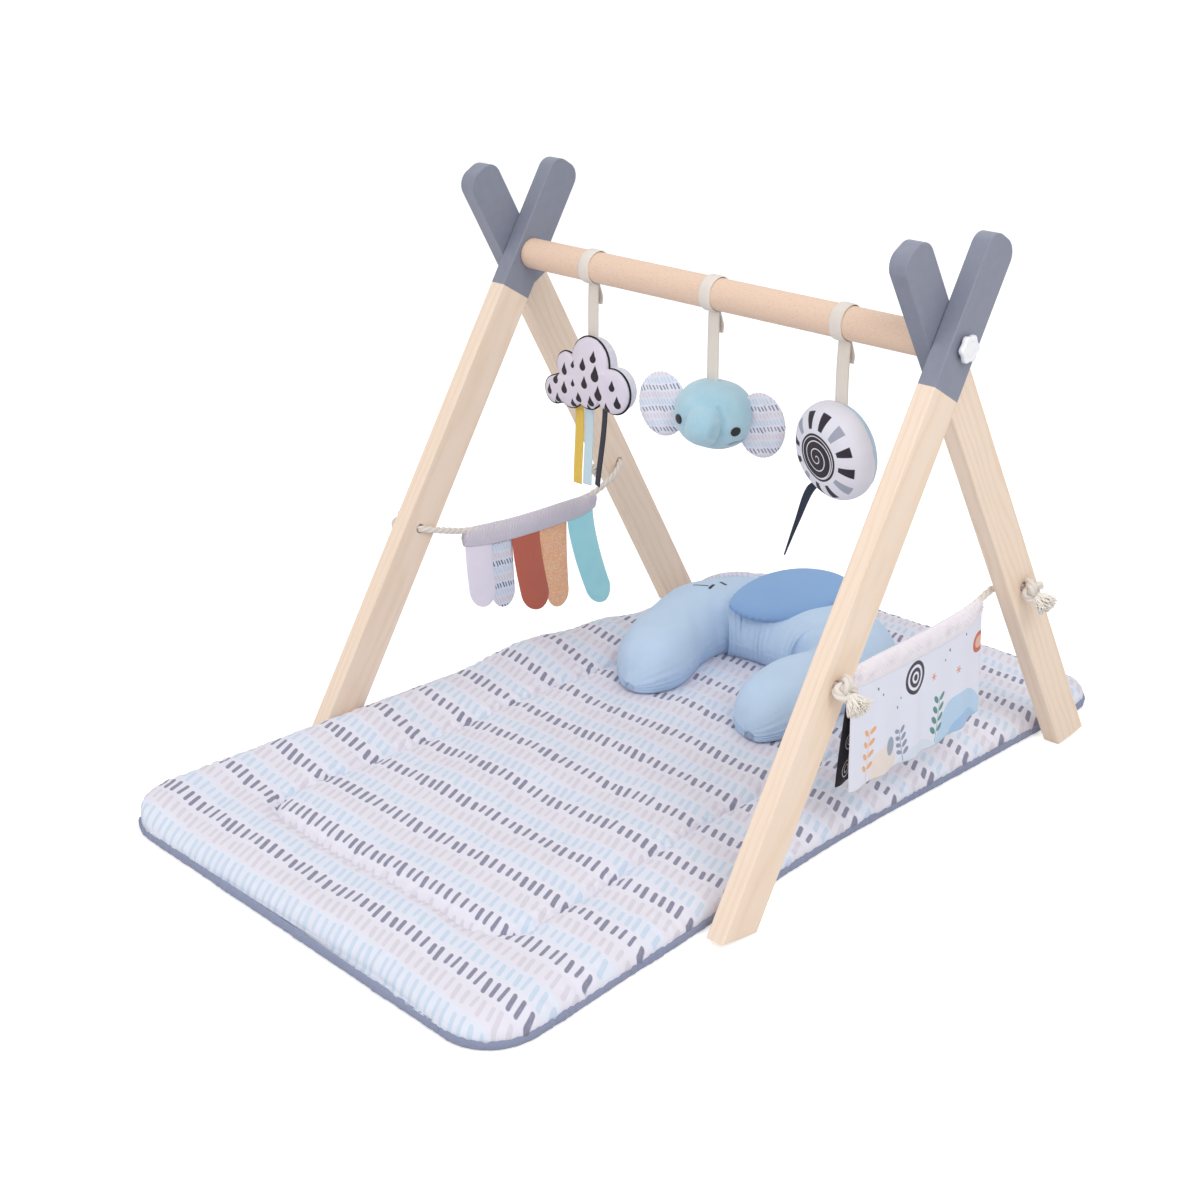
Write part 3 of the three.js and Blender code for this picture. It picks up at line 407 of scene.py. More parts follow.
def ringed(name, rings, marks=None):
    """A closed skin over rings[i, j]. Each ring joins the next, and a middle point closes each end."""
    rows, cols, _ = rings.shape
    marks = full_marks(marks, rows, cols)
    j = np.arange(cols)
    k = (j + 1) % cols
    first, last = rows * cols, rows * cols + 1
    caps = [
        np.stack([np.full(cols, first), k, j], 1),
        np.stack([np.full(cols, last), (rows - 1) * cols + j, (rows - 1) * cols + k], 1),
    ]
    ends = [marks[0, :-1].mean(0), marks[-1, :-1].mean(0)]
    cap_marks = [
        np.stack([np.tile(ends[0], (cols, 1)), marks[0, 1:], marks[0, :-1]], 1),
        np.stack([np.tile(ends[1], (cols, 1)), marks[-1, :-1], marks[-1, 1:]], 1),
    ]
    places = np.vstack([rings.reshape(-1, 3), rings[0].mean(0), rings[-1].mean(0)])
    groups = [squares(rows, cols, True), *caps]
    return make(name, places, groups, [corner_marks(marks, rows, cols, True), *cap_marks])


def across_ways(middle):
    """Unit ways out of a grid: the cross product of its steps along rows and columns."""
    way = np.cross(np.gradient(middle, axis=0), np.gradient(middle, axis=1))
    return way / np.maximum(np.linalg.norm(way, axis=-1, keepdims=True), 1e-9)


def layered(name, middle, thick, marks):
    """Cloth of a thickness: two faces half of it either side of the middle, and a rim between them.
    The mark's third number is 1 on the face that the grid's own way points to and -1 on the other."""
    rows, cols, _ = middle.shape
    way = across_ways(middle) * (np.asarray(thick, float)[..., None] / 2)
    front, back = middle + way, middle - way
    one = np.ones(marks.shape[:2] + (1,))
    sides = [np.concatenate([marks[..., :2], one * s], -1) for s in (1, -1)]
    edge = np.concatenate(
        [
            np.arange(cols),
            np.arange(1, rows) * cols + cols - 1,
            (rows - 1) * cols + np.arange(cols - 2, -1, -1),
            np.arange(rows - 2, 0, -1) * cols,
        ]
    )
    after = np.roll(edge, -1)
    n = rows * cols
    rim = np.stack([edge, edge + n, after + n, after], 1)
    flat = sides[0].reshape(-1, 3) * [1, 1, 0]
    rim_marks = np.stack([flat[edge], flat[edge], flat[after], flat[after]], 1)
    front_squares = squares(rows, cols, False)
    back_squares = squares(rows, cols, False, n)[:, ::-1]
    places = np.vstack([front.reshape(-1, 3), back.reshape(-1, 3)])
    cloth = [
        corner_marks(sides[0], rows, cols, False),
        corner_marks(sides[1], rows, cols, False)[:, ::-1],
        rim_marks,
    ]
    return make(name, places, [front_squares, back_squares, rim], cloth)


def smooth_path(points, per_span=24):
    """Points on a curve through the given ones. Each span is a cubic whose end slopes come from its
    neighbours, timed by the square root of the distances between them."""
    p = np.asarray(points, float)
    p = np.vstack([2 * p[0] - p[1], p, 2 * p[-1] - p[-2]])
    gap = np.sqrt(np.linalg.norm(np.diff(p, axis=0), axis=1))[:, None]
    a, b, c, d = p[:-3], p[1:-2], p[2:-1], p[3:]
    g0, g1, g2 = gap[:-2], gap[1:-1], gap[2:]
    leave = ((b - a) / g0 - (c - a) / (g0 + g1) + (c - b) / g1) * g1
    arrive = ((c - b) / g1 - (d - b) / (g1 + g2) + (d - c) / g2) * g1
    t = np.linspace(0, 1, per_span, endpoint=False)[:, None, None]
    cubic = (
        b
        + leave * t
        + (3 * (c - b) - 2 * leave - arrive) * t**2
        + (2 * (b - c) + leave + arrive) * t**3
    )
    return np.vstack([cubic.transpose(1, 0, 2).reshape(-1, p.shape[1]), p[-2]])


def evenly(path, count):
    """The same path with its points an equal way apart."""
    step = np.linalg.norm(np.diff(path[:, :3], axis=0), axis=1)
    run = np.concatenate([[0], np.cumsum(step)])
    at = np.linspace(0, run[-1], count)
    return np.stack([np.interp(at, run, path[:, k]) for k in range(path.shape[1])], 1), at


def side_ways(path, up):
    """Two unit ways square to the path, the second as near to up as it can be."""
    way = np.gradient(path, axis=0)
    way /= np.linalg.norm(way, axis=1, keepdims=True)
    up = np.broadcast_to(np.asarray(up, float), way.shape)
    over = up - (up * way).sum(1, keepdims=True) * way
    over /= np.linalg.norm(over, axis=1, keepdims=True)
    return np.cross(way, over), over


def tube(path, radius, turns, up=(0, 0, 1)):
    """Rings round a path: middle + radius (side cos a + over sin a)."""
    side, over = side_ways(path, up)
    r = np.broadcast_to(radius, (len(path), len(turns)))[..., None]
    return path[:, None] + r * (
        side[:, None] * np.cos(turns)[None, :, None] + over[:, None] * np.sin(turns)[None, :, None]
    )


def moved(points, matrix):
    """Points carried by a turn and a shift."""
    m = np.array(matrix)
    return points @ m[:3, :3].T + m[:3, 3]


def turn_about(axis, degrees):
    return np.array(Matrix.Rotation(math.radians(degrees), 4, axis))


def shift(x, y, z):
    return np.array(Matrix.Translation((x, y, z)))


def around(count):
    return np.linspace(0, 2 * np.pi, count, endpoint=False)


def ease(t):
    """Smooth step from 0 to 1."""
    t = np.clip(t, 0, 1)
    return t * t * (3 - 2 * t)


def waves(x, y, size, seed, count=7):
    """Gentle unevenness from -1 to 1: a mean of sines about a size long in seeded ways."""
    rng = np.random.default_rng(seed)
    total = 0
    for _ in range(count):
        angle, phase, stretch = rng.uniform(0, 2 * np.pi, 2).tolist() + [rng.uniform(0.7, 1.5)]
        k = 2 * np.pi / (size * stretch)
        total = total + np.sin(k * (x * math.cos(angle) + y * math.sin(angle)) + phase)
    return total / math.sqrt(count)


def finish_piece(piece, paint, nodes=(), body=None):
    """Gives a piece its paint, hides the solids that it stands for, and joins it to its body."""
    piece.data.materials.clear()
    piece.data.materials.append(paint.material)
    if nodes:
        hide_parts(*nodes)
    if body:
        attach(piece, body)
    return piece


half_turn = np.diag([-1.0, -1.0, 1.0, 1.0])
print("makers are ready")

# %% [markdown]
# The frame is two pairs of pine boards and a beech dowel. Each board was sawn straight, its edges rounded
# with a small cutter, its foot cut level with the floor and its top dipped in slate paint as far as a strip
# of masking tape. The grain is worked out in the board's own length, width and thickness, so it runs along
# every board whichever way it leans.

# %% Wood, paint and metal
bar_length, bar_dia, bar_height = 539.4, 34.0, 498.0
board_thick, board_wide, arris = 20.0, 44.0, 1.4
lean, foot_cut = math.radians(30.4), math.radians(23)
top_reach, top_round = 112.0, 17.0
rope_drop = 332.0
gap = 0.3
inner_face = bar_length / 2 + gap
outer_inner = inner_face + board_thick + gap
outer_face = outer_inner + board_thick
foot_drop = (
    bar_height - board_wide / 2 * (math.sin(lean) - math.tan(foot_cut) * math.cos(lean))
) / math.cos(lean)
foot_rise = board_wide / 2 * math.tan(foot_cut)


def pine_paint():
    """Pale wood: rings about a far pith give thin darker lines, long noise gives the fibres.
    Above the paint line the same board is slate grey and smoother."""
    paint = Paint("pine_and_paint", "EBD5BB", 0.6)
    along, wide, deep = paint.cloth()
    sway = paint.noise(along * 0.006, wide * 0.03, deep * 0.03) * 18.0
    away = ((wide - 9.0) * (wide - 9.0) + (deep + 75.0) * (deep + 75.0)).root()
    ring = ((away + sway) * (2 * math.pi / 7.2)).sine() * 0.5 + 0.5
    late = ring**3.0 * paint.noise(along * 0.012, wide * 0.1, deep * 0.1)
    fibre = paint.noise(along * 0.035, wide * 1.3, deep * 1.3, 4.0)
    tone = paint.noise(along * 0.004, wide * 0.05, deep * 0.02)
    wood = paint.mixed(late * 0.55, "F0DDCC", "DDBC98")
    wood = paint.mixed(tone * 0.5, wood, "E8CFB6")
    wood = paint.mixed((fibre - 0.45) * 0.7, wood, "DABFA5")
    painted = paint.inside((along * -1.0) - 47.5 + paint.noise(wide * 0.2, deep * 0.2) * 0.8, 0.3)
    slate = paint.mixed(paint.noise(along * 0.1, wide * 0.1, deep * 0.1), "7B7F90", "858999")
    paint.coloured(paint.mixed(painted, wood, slate))
    paint.rough(0.62 - painted * 0.2 + fibre * 0.08)
    paint.raised(fibre * 0.10 + late * 0.03 + painted * 0.15)
    return paint


def beech_paint():
    """Pinkish beech: short darker flecks that lie along the dowel."""
    paint = Paint("beech", "DCBDA4", 0.55)
    along, arc, _ = paint.cloth()
    fleck = paint.noise(along * 0.22, arc * 1.9, 0.0, 2.0)
    fibre = paint.noise(along * 0.03, arc * 0.9, 3.0, 4.0)
    band = paint.noise(along * 0.004, arc * 0.09, 7.0, 2.0)
    wood = paint.mixed(fibre * 0.6, "E9CFBC", "D6B297")
    wood = paint.mixed(band * 0.4, wood, "E3C2AA")
    wood = paint.mixed(paint.inside(0.62 - fleck, 0.05) * 0.45, wood, "B98F72")
    paint.coloured(wood)
    paint.rough(0.5 + fibre * 0.12)
    paint.raised(fibre * 0.08 + fleck * 0.03)
    return paint


def metal_paint(name, code):
    """Plated metal with fine turning lines and a few duller patches."""
    paint = Paint(name, code, 0.3, metallic=1.0)
    x, y, z = paint.place()
    dull = paint.noise(x * 0.3, y * 0.3, z * 0.3)
    paint.rough(0.25 + dull * 0.2)
    paint.raised((x * 9.0).sine() * 0.01 + dull * 0.02)
    return paint


pine, beech = pine_paint(), beech_paint()
steel, brass = metal_paint("zinc_steel", "B9BCC2"), metal_paint("brass", "C6A868")
for node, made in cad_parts.items():
    if node.endswith(("knob_stud", "washer", "threaded_insert")):
        made.data.materials.clear()
        made.data.materials.append((brass if node.endswith("insert") else steel).material)
print("wood and metal are ready")


# %% Boards
def board_mesh():
    """The board's outline with its two holes, given its thickness and rounded arrises."""
    half = board_wide / 2
    turn = np.linspace(0, np.pi / 2, 14)
    right_top = np.stack(
        [half - top_round + top_round * np.cos(turn), top_reach - top_round + top_round * np.sin(turn)], 1
    )
    left_top = right_top[::-1] * [-1, 1]
    feet = np.array([[-half, -foot_drop - foot_rise], [half, -foot_drop + foot_rise]])
    outline = np.vstack([feet, right_top, left_top])
    ring = np.stack([np.cos(around(40)), np.sin(around(40))], 1)
    holes = [ring * 3.5, ring * 4.75 + [0, -rope_drop]]
    curve = bpy.data.curves.new("board_outline", "CURVE")
    curve.dimensions = "2D"
    curve.fill_mode = "BOTH"
    curve.extrude = board_thick / 2 - arris
    curve.bevel_depth = arris
    curve.bevel_resolution = 2
    curve.offset = -arris
    for points in [outline, *[h[::-1] for h in holes]]:
        spline = curve.splines.new("POLY")
        spline.points.add(len(points) - 1)
        spline.points.foreach_set(
            "co", np.concatenate([points, np.zeros((len(points), 1)), np.ones((len(points), 1))], 1).ravel()
        )
        spline.use_cyclic_u = True
    drawn = bpy.data.objects.new("board_outline", curve)
    bpy.context.scene.collection.objects.link(drawn)
    bpy.context.view_layer.update()
    mesh = bpy.data.meshes.new_from_object(drawn.evaluated_get(bpy.context.evaluated_depsgraph_get()))
    bpy.data.objects.remove(drawn)
    return mesh


blank = board_mesh()


def leg(name, inner_x, turned, grain_shift):
    """A board laid in place: across it is Y, along it Z and through it X, then it leans about the bar."""
    mesh = blank.copy()
    mesh.name = name
    co = np.empty(len(mesh.vertices) * 3)
    mesh.vertices.foreach_get("co", co)
    local = co.reshape(-1, 3)
    grain = np.stack([local[:, 1], local[:, 0] + grain_shift, local[:, 2]], 1)
    upright = np.stack([local[:, 2], local[:, 0], local[:, 1]], 1)
    placed = moved(upright, shift(inner_x + board_thick / 2, 0, bar_height) @ turn_about("X", -30.4))
    placed = moved(placed, half_turn) if turned else placed
    mesh.vertices.foreach_set("co", (placed * mm).ravel())
    mesh.attributes.new("cloth", "FLOAT_VECTOR", "POINT").data.foreach_set("vector", grain.ravel())
    mesh.shade_flat()
    made = bpy.data.objects.new(name, mesh)
    bpy.context.scene.collection.objects.link(made)
    corners = mesh.vertices
    faces_in = sum(
        f.area * f.normal.dot(f.center - Vector(placed.mean(0) * mm)) for f in mesh.polygons
    )
    if faces_in < 0:
        mesh.flip_normals()
    return made


for node, inner_x, turned, grain_shift in (
    ("right_outer_leg", outer_inner, False, 0.0),
    ("left_inner_leg", -inner_face - board_thick, False, 31.0),
    ("left_outer_leg", outer_inner, True, 67.0),
    ("right_inner_leg", -inner_face - board_thick, True, 104.0),
):
    finish_piece(leg(node + "_board", inner_x, turned, grain_shift), pine, [node], node)
print("four boards,", len(blank.polygons), "faces each")


# %% Crossbar
def crossbar():
    """A turned dowel: rings along X, with a small chamfer at each end."""
    end, r, cut = bar_length / 2, bar_dia / 2, 1.2
    half = [(0.2, 0.0), (0.5, 0.0), (4.7, 0.0), (r - cut, 0.0), (r - 0.3, 0.3), (r, cut)]
    run = [(q, -end + inward) for q, inward in half]
    middle = [(r, x) for x in np.linspace(-end + 8, end - 8, 60)]
    profile = np.array(run + middle + [(q, -x) for q, x in reversed(run)])
    turn = around(96)
    rings = np.stack(
        [
            np.broadcast_to(profile[:, 1:], (len(profile), 96)),
            profile[:, :1] * np.cos(turn),
            profile[:, :1] * np.sin(turn) + bar_height,
        ],
        -1,
    )
    arc = np.linspace(0, 2 * np.pi, 97) * r
    marks = np.stack(np.meshgrid(profile[:, 1], arc, indexing="ij"), -1)
    made = ringed("crossbar_dowel", rings, marks)
    made.data.set_sharp_from_angle(angle=math.radians(40))
    return made


finish_piece(crossbar(), beech, ["crossbar"], "crossbar")
print("crossbar,", bar_length, "mm long")


# %% [markdown]
# The knobs are moulded white plastic: a six-lobed head with a rounded rim and a shallow ring round a flat
# middle, on a short boss that stands on the washer.


# %% Star knobs
def plastic_paint():
    """Moulded plastic: nearly white, faintly uneven, with a fine spark-eroded skin."""
    paint = Paint("knob_plastic", "EDEDF2", 0.42)
    x, y, z = paint.place()
    cloudy = paint.noise(x * 0.2, y * 0.2, z * 0.2)
    paint.coloured(paint.mixed(cloudy * 0.5, "F1F1F5", "E4E5EC"))
    paint.rough(0.36 + cloudy * 0.12)
    paint.raised(paint.noise(x * 3.0, y * 3.0, z * 3.0) * 0.03)
    return paint


plastic = plastic_paint()


def star_knob(turned):
    """Rings of radius mean + depth/2 cos 6a, from the boss over the rounded rim to the middle of the head."""
    boss = outer_face + gap + 0.8 + gap
    head = boss + 1.2
    front = head + 5.6
    turn = around(144)
    rows = [
        (3.4, 0, boss), (7.5, 0, boss), (7.5, 0, head), (11.4, 1, head + 0.05), (12.4, 1, head + 0.4),
        (12.9, 1, head + 1.1), (12.9, 1, front - 1.6), (12.6, 1, front - 0.7), (11.8, 1, front - 0.15),
        (10.6, 0.8, front), (8.6, 0.3, front), (7.9, 0.05, front - 0.1), (7.6, 0, front - 0.45),
        (7.2, 0, front - 0.45), (6.9, 0, front - 0.1), (6.2, 0, front), (2.0, 0, front), (0.3, 0, front),
    ]  # fmt: skip
    rings = []
    for mean, star, x in rows:
        r = mean + star * 1.1 * np.cos(6 * turn)
        rings.append(np.stack([np.full(144, x), r * np.cos(turn), r * np.sin(turn) + bar_height], 1))
    rings = np.array(rings)
    rings = moved(rings, half_turn) if turned else rings
    made = ringed(("left" if turned else "right") + "_knob_head", rings)
    made.data.set_sharp_from_angle(angle=math.radians(55))
    return made


for side in ("right", "left"):
    knob = star_knob(side == "left")
    finish_piece(knob, plastic, [side + "_star_knob"], side + "_knob")
print("two knobs")

# %% [markdown]
# The ropes are three-strand cotton. Each goes through a hole near the foot of both boards, hangs slack
# between them and ends in a thick knot outside each board, with the strands combed out below it.


# %% Rope, knots and frayed ends
hole_y = rope_drop * math.sin(lean)
hole_z = bar_height - rope_drop * math.cos(lean)
rope_radius = 3.1


def rope_paint(name, shade, pale):
    """Cream cotton: fibres that run along the twist, painted shade that darkens the grooves between the strands,
    and stray pale hairs.
    """
    paint = Paint(name, pale, 0.92, sheen_weight=0.25)
    along, across, groove = paint.cloth()
    fibre = paint.noise(along * 0.6, across * 3.2, 0.0, 3.0)
    wool = paint.mixed(fibre, shade, pale)
    # Painted shade: the grooves between the strands are darkened towards BFAF9F.
    wool = paint.mixed(groove * 0.55, wool, "BFAF9F")
    paint.coloured(wool)
    paint.raised(fibre * 0.3)
    return paint


cotton_rope = rope_paint("rope", "DCD2C9", "EEE8E1")
loose_yarn = rope_paint("loose_yarn", "EAE2D8", "FAF6F0")


def strands(turn, along, lay=23.0, radius=1.0):
    """Edge of three strands laid together: d cos f + sqrt(p^2 - (d sin f)^2), f within 60 degrees of each."""
    f = (turn[None, :] - 2 * np.pi * along[:, None] / lay) % (2 * np.pi / 3) - np.pi / 3
    d, p = 0.42 * radius, 0.58 * radius
    return d * np.cos(f) + np.sqrt(p**2 - (d * np.sin(f)) ** 2), np.abs(f) / (np.pi / 3)


def twisted(name, path, radius, count, sides=30, up=(0, 0, 1)):
    """A laid rope along a path, with marks that follow the strands and tell their grooves."""
    path, along = evenly(path, count)
    up = up(path) if callable(up) else up
    turn = around(sides)
    edge, depth = strands(turn, along, 7.4 * radius, radius)
    rings = tube(path, edge, turn, up)
    full = np.append(turn, 2 * np.pi)
    depth = np.concatenate([depth, depth[:, :1]], 1)
    u = np.broadcast_to(along[:, None], depth.shape)
    v = full[None, :] * radius - u * 0.85
    # The third mark is how deep in a groove a point lies; the rope paint turns it into painted shade.
    return ringed(name, rings, np.stack([u, v, depth**4], -1))


def rope_points(sags):
    """The rope's own way: in through the outer board's hole, slack across, out through the inner board's."""
    shares = np.array([-0.9, -0.62, -0.3, 0, 0.3, 0.62, 0.9])
    near, far = outer_inner - 7, inner_face - 7
    free = np.stack([near + (far - near) * (shares + 1) / 2, shares * hole_y, hole_z - np.array(sags)], 1)
    start = [(x, -hole_y, hole_z) for x in (outer_face + gap, outer_face - board_thick / 2, outer_inner)]
    leaving = (inner_face, inner_face + board_thick / 2, inner_face + board_thick + gap)
    end = [(x, hole_y, hole_z) for x in leaving]
    return smooth_path(np.vstack([start, free, end]))


paths = {"right": rope_points([6, 15, 17, 18, 18, 15, 5]), "left": rope_points([11, 27, 28, 27, 24, 17, 4])}


def knot(name, centre, seed, turned):
    """A rope tied over itself: the path (sin t + 2 sin 2t, cos t - 2 cos 2t, -sin 3t), pressed on the board."""
    t = np.linspace(0, 2 * np.pi, 400)
    size = 3.15
    path = np.stack(
        [
            -np.sin(3 * t) * size * 1.35,
            (np.sin(t) + 2 * np.sin(2 * t)) * size,
            (np.cos(t) - 2 * np.cos(2 * t)) * size,
        ],
        1,
    )
    path = moved(path, shift(*centre) @ turn_about("X", 14 + 40 * seed))
    path = moved(path, half_turn) if turned else path
    return twisted(name, path, 4.5, 420, 30, lambda p: p - p.mean(0))


def tassel(name, centre, tilt, seed, turned):
    """Some hundreds of loose yarns from under the knot. Each starts near the middle, fans out with its own
    reach, and waves a little."""
    rng = np.random.default_rng(seed)
    count, steps, sides = 230, 14, 6
    q = np.linspace(0, 1, steps)
    way = np.array([math.sin(tilt), 0, -math.cos(tilt)])
    side = np.array([0.0, 1.0, 0.0])
    over = np.cross(way, side)
    angle = rng.uniform(0, 2 * np.pi, count)
    share = np.sqrt(rng.uniform(0, 1, count))
    reach = 13.5 + 13.5 * (1 - 0.3 * share**2) * rng.uniform(0.82, 1.08, count)
    spread = 3.0 * share[:, None] + (9.4 * share[:, None] + rng.normal(0, 0.9, (count, 1))) * q**0.8
    run = 6.5 + (reach[:, None] - 6.5) * q
    bend = rng.normal(0, 1.5, (count, 2, 1)) * np.sin(q * 2.4 + rng.uniform(0, 3, (count, 2, 1)))
    bend = bend + rng.normal(0, 1.3, (count, 2, 1)) * np.sin(q * rng.uniform(6, 11, (count, 2, 1)) + 1)
    a = spread * np.cos(angle)[:, None] + bend[:, 0] * q
    b = spread * np.sin(angle)[:, None] + bend[:, 1] * q
    middle = np.array(centre) + run[..., None] * way + a[..., None] * side + b[..., None] * over
    middle[..., 0] = np.maximum(middle[..., 0], centre[0] - 9.9)
    turn = around(sides)
    radius = (0.78 * (1 - 0.35 * q))[None, :, None, None]
    ring = side * np.cos(turn)[:, None] + over * np.sin(turn)[:, None]
    rings = middle[:, :, None] + radius * ring[None, None]
    rings = moved(rings, half_turn) if turned else rings
    per = steps * sides
    base = squares(steps, sides, True)
    tip = np.array([[(steps - 1) * sides + k for k in range(sides)], [k for k in reversed(range(sides))]])
    offsets = (np.arange(count) * per)[:, None, None]
    quads = (base[None] + offsets).reshape(-1, 4)
    ends = (tip[None] + offsets).reshape(-1, sides)
    marks = np.zeros((len(quads), 4, 3))
    marks[..., 0] = np.repeat(rng.uniform(0, 300, count), len(base))[:, None] + (quads % per) // sides * 2
    marks[..., 1] = np.repeat(rng.uniform(0, 300, count), len(base))[:, None]
    return make(name, rings.reshape(-1, 3), [quads, ends], [marks, np.zeros((len(ends), sides, 3))])


for side, tilt in (("right", 53.0), ("left", 12.0)):
    turned = side == "left"
    path = paths[side]
    laid = twisted(side + "_laid_rope", moved(path, half_turn) if turned else path, rope_radius + 0.7, 620)
    laid.data.materials.append(cotton_rope.material)
    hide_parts(side + "_rope")
    (-hole_y if not turned else hole_y) * mm * 0.93
    (hole_y if not turned else -hole_y) * mm * 0.93
    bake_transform(laid)
    for board, x, y in (("outer", outer_face, -hole_y), ("inner", inner_face + board_thick, hole_y)):
        body = side + "_" + board + "_leg"
        centre = (x + gap + 10.5, y, hole_z)
        seed = (3 if turned else 1) + (board == "inner")
        tied = knot(body + "_tied_knot", centre, seed, turned)
        finish_piece(tied, cotton_rope, [body + "_knot"], body)
        combed = tassel(body + "_combed_end", centre, math.radians(tilt), seed, turned)
        finish_piece(combed, loose_yarn, [], body)
print("ropes, four knots and four combed ends")

# %% [markdown]
# The cloth pieces share two paints: a plain woven cotton, and the print of the mat, which comes back smaller on
# the ears and one bunting tab. The print is rows of short brush strokes in grey, faint pink and pale blue, each
# stroke a little different, as drawn with a loaded brush.


# %% Cloth paints
def cotton_paint(name, code, second, thread=0.7, height=0.05, sheen=0.12):
    """Plain woven cotton that varies a little between two colours."""
    paint = Paint(name, code, 0.93, sheen_weight=sheen)
    u, v, _ = paint.cloth()
    paint.coloured(paint.mixed(paint.noise(u * 0.03, v * 0.03, 2.0, 3.0), code, second))
    paint.raised(weave(paint, u, v, thread, height))
    return paint


def stroke_rows(paint, x, y, scale, ground, dark="83839A"):
    """Brush strokes in rows along x. A row is 21.8 apart and a stroke 10.6 from the next, times the scale.
    All strokes lean one way; each has its own length, width and small turn. Of three rows one is dark, one blue
    and one pink."""
    row_gap, stroke_gap = 21.8, 10.6
    x, y = x * (1 / scale), y * (1 / scale)
    y = y + (paint.noise(x * 0.011, y * 0.02) - 0.5) * 6.0
    row = ((y + row_gap / 2) * (1 / row_gap)).floor()
    down = y - row * row_gap
    x = x + down * 0.4 + paint.chance(row, 3.0) * stroke_gap
    cell = (x * (1 / stroke_gap)).floor()
    first, second = paint.chance(cell, row), paint.chance(cell, row, 5.0)
    side = x - cell * stroke_gap - stroke_gap / 2 + (first - 0.5) * 2.2 + down * (second - 0.5) * 0.2
    past = (abs(down + (second - 0.5) * 3.0) - (4.4 + first * 2.8)).most(0.0)
    mark = paint.inside((past * past + side * side).root() - (1.85 + second * 0.9), 0.45)
    kind = row - (row * (1 / 3)).floor() * 3.0
    is_pink, is_blue = kind.over(1.5), kind.over(0.5)
    ink = paint.mixed(is_pink, paint.mixed(is_blue, dark, "C8D6E8"), "D6D1DC")
    tint = paint.mixed(is_pink, paint.mixed(is_blue, ground, "DFE3F0"), "E3E0EB")
    worn = 0.8 + paint.noise(x * 0.5, y * 0.25) * 0.35
    return paint.mixed(mark * worn, tint, ink)


def print_paint(name, scale, ground, shift_y=0.0, thread=0.7, dark="83839A"):
    """White cotton printed with the rows of strokes."""
    paint = Paint(name, ground, 0.93, sheen_weight=0.15)
    u, v, _ = paint.cloth()
    paint.coloured(stroke_rows(paint, u, v + shift_y, scale, ground, dark))
    paint.raised(weave(paint, u, v, thread, 0.05))
    return paint


def velour_paint(name, code, second):
    """Short pile: nap that lies lighter or darker in patches, with a soft sheen."""
    paint = Paint(name, code, 1.0, sheen_weight=0.55, sheen_roughness=0.6)
    x, y, z = paint.place()
    nap = paint.noise(x * 0.05, y * 0.05, z * 0.05, 3.0)
    pile = paint.noise(x * 1.1, y * 1.1, z * 1.1, 3.0)
    paint.coloured(paint.mixed(nap * 0.8 + pile * 0.35 - 0.1, code, second))
    paint.raised(pile * 0.35)
    return paint


mat_print = print_paint("mat_print_cotton", 1.0, "E4E2EE", 57.0)
slate = cotton_paint("slate_cotton", "858CA8", "9198B1")
mid_blue = cotton_paint("ear_blue_cotton", "8FB3DE", "86AAD8")
lilac = cotton_paint("sleeve_cotton", "D8D1DB", "CFC8D3")
tape = cotton_paint("strap_tape", "EDE6DE", "E4DACF", 1.1, 0.12)
print("cloth paints are ready")

# %% [markdown]
# The mat is a quilted pad: two layers of cotton with wadding between, sewn together near the edge and again
# along a rounded frame inside it. The pull of the thread puckers the cloth beside each seam. A slate backing
# is turned up round the edge as a soft roll.

# %% Mat
mat_front, mat_back, mat_left, mat_right = -565.0, 410.0, 268.0, 256.0
corner, quilt_inset, quilt_corner = 56.0, 98.0, 46.0


def right_edge(y):
    return mat_right + 27 * ease((-20 - y) / 480)


def corner_inset(y):
    end = np.clip(np.minimum(y - mat_front, mat_back - y), 0, corner)
    return corner - np.sqrt(corner**2 - (corner - end) ** 2)


def depth_in(to_side, to_end, radius):
    """Distance in from a rectangle whose corners are rounded."""
    rounded = radius - np.hypot(radius - to_side, radius - to_end)
    return np.where((to_side > radius) | (to_end > radius), np.minimum(to_side, to_end), rounded)


def mat_height(x, y):
    """Crown at the edge, groove and puckers at the seam, a lifted left edge, and soft unevenness."""
    to_side = np.minimum(x + mat_left, right_edge(y) - x)
    to_end = np.minimum(y - mat_front, mat_back - y)
    deep = np.maximum(depth_in(to_side, to_end, corner), 0)
    inward = np.minimum(deep / 34, 1)
    crown = 10 + 14 * np.sqrt(1 - (1 - inward) ** 2)
    seam = depth_in(to_side - quilt_inset, to_end - quilt_inset, quilt_corner)
    groove = 4.6 * np.exp(-((seam / 11) ** 2)) + 4.6 * np.exp(-((seam / 2.4) ** 2))
    near_left = 1 - ease((x + mat_left) / quilt_inset)
    wave = 1 - ease(np.abs(y + 25) / 100)
    lift = near_left * (11 * ease((180 - y) / 80) + 9 * wave)
    beside = np.where(to_side < to_end, waves(x * 0.2, y, 11, 5), waves(x, y * 0.2, 11, 6))
    pucker = 1.15 * beside * np.exp(-(((np.abs(seam) - 4) / 8) ** 2)) + 1.0 * beside * np.exp(-deep / 12)
    uneven = (1.5 * waves(x, y, 150, 3) + 0.8 * waves(x, y, 62, 4)) * inward
    return crown - groove + lift + pucker + uneven


def pulled(x, y):
    """The front right corner is drawn out past its rounding."""
    share = 1 - ease(np.hypot(x - mat_right - 27, y - mat_front) / 180)
    return x + 8 * share, y - 14 * share


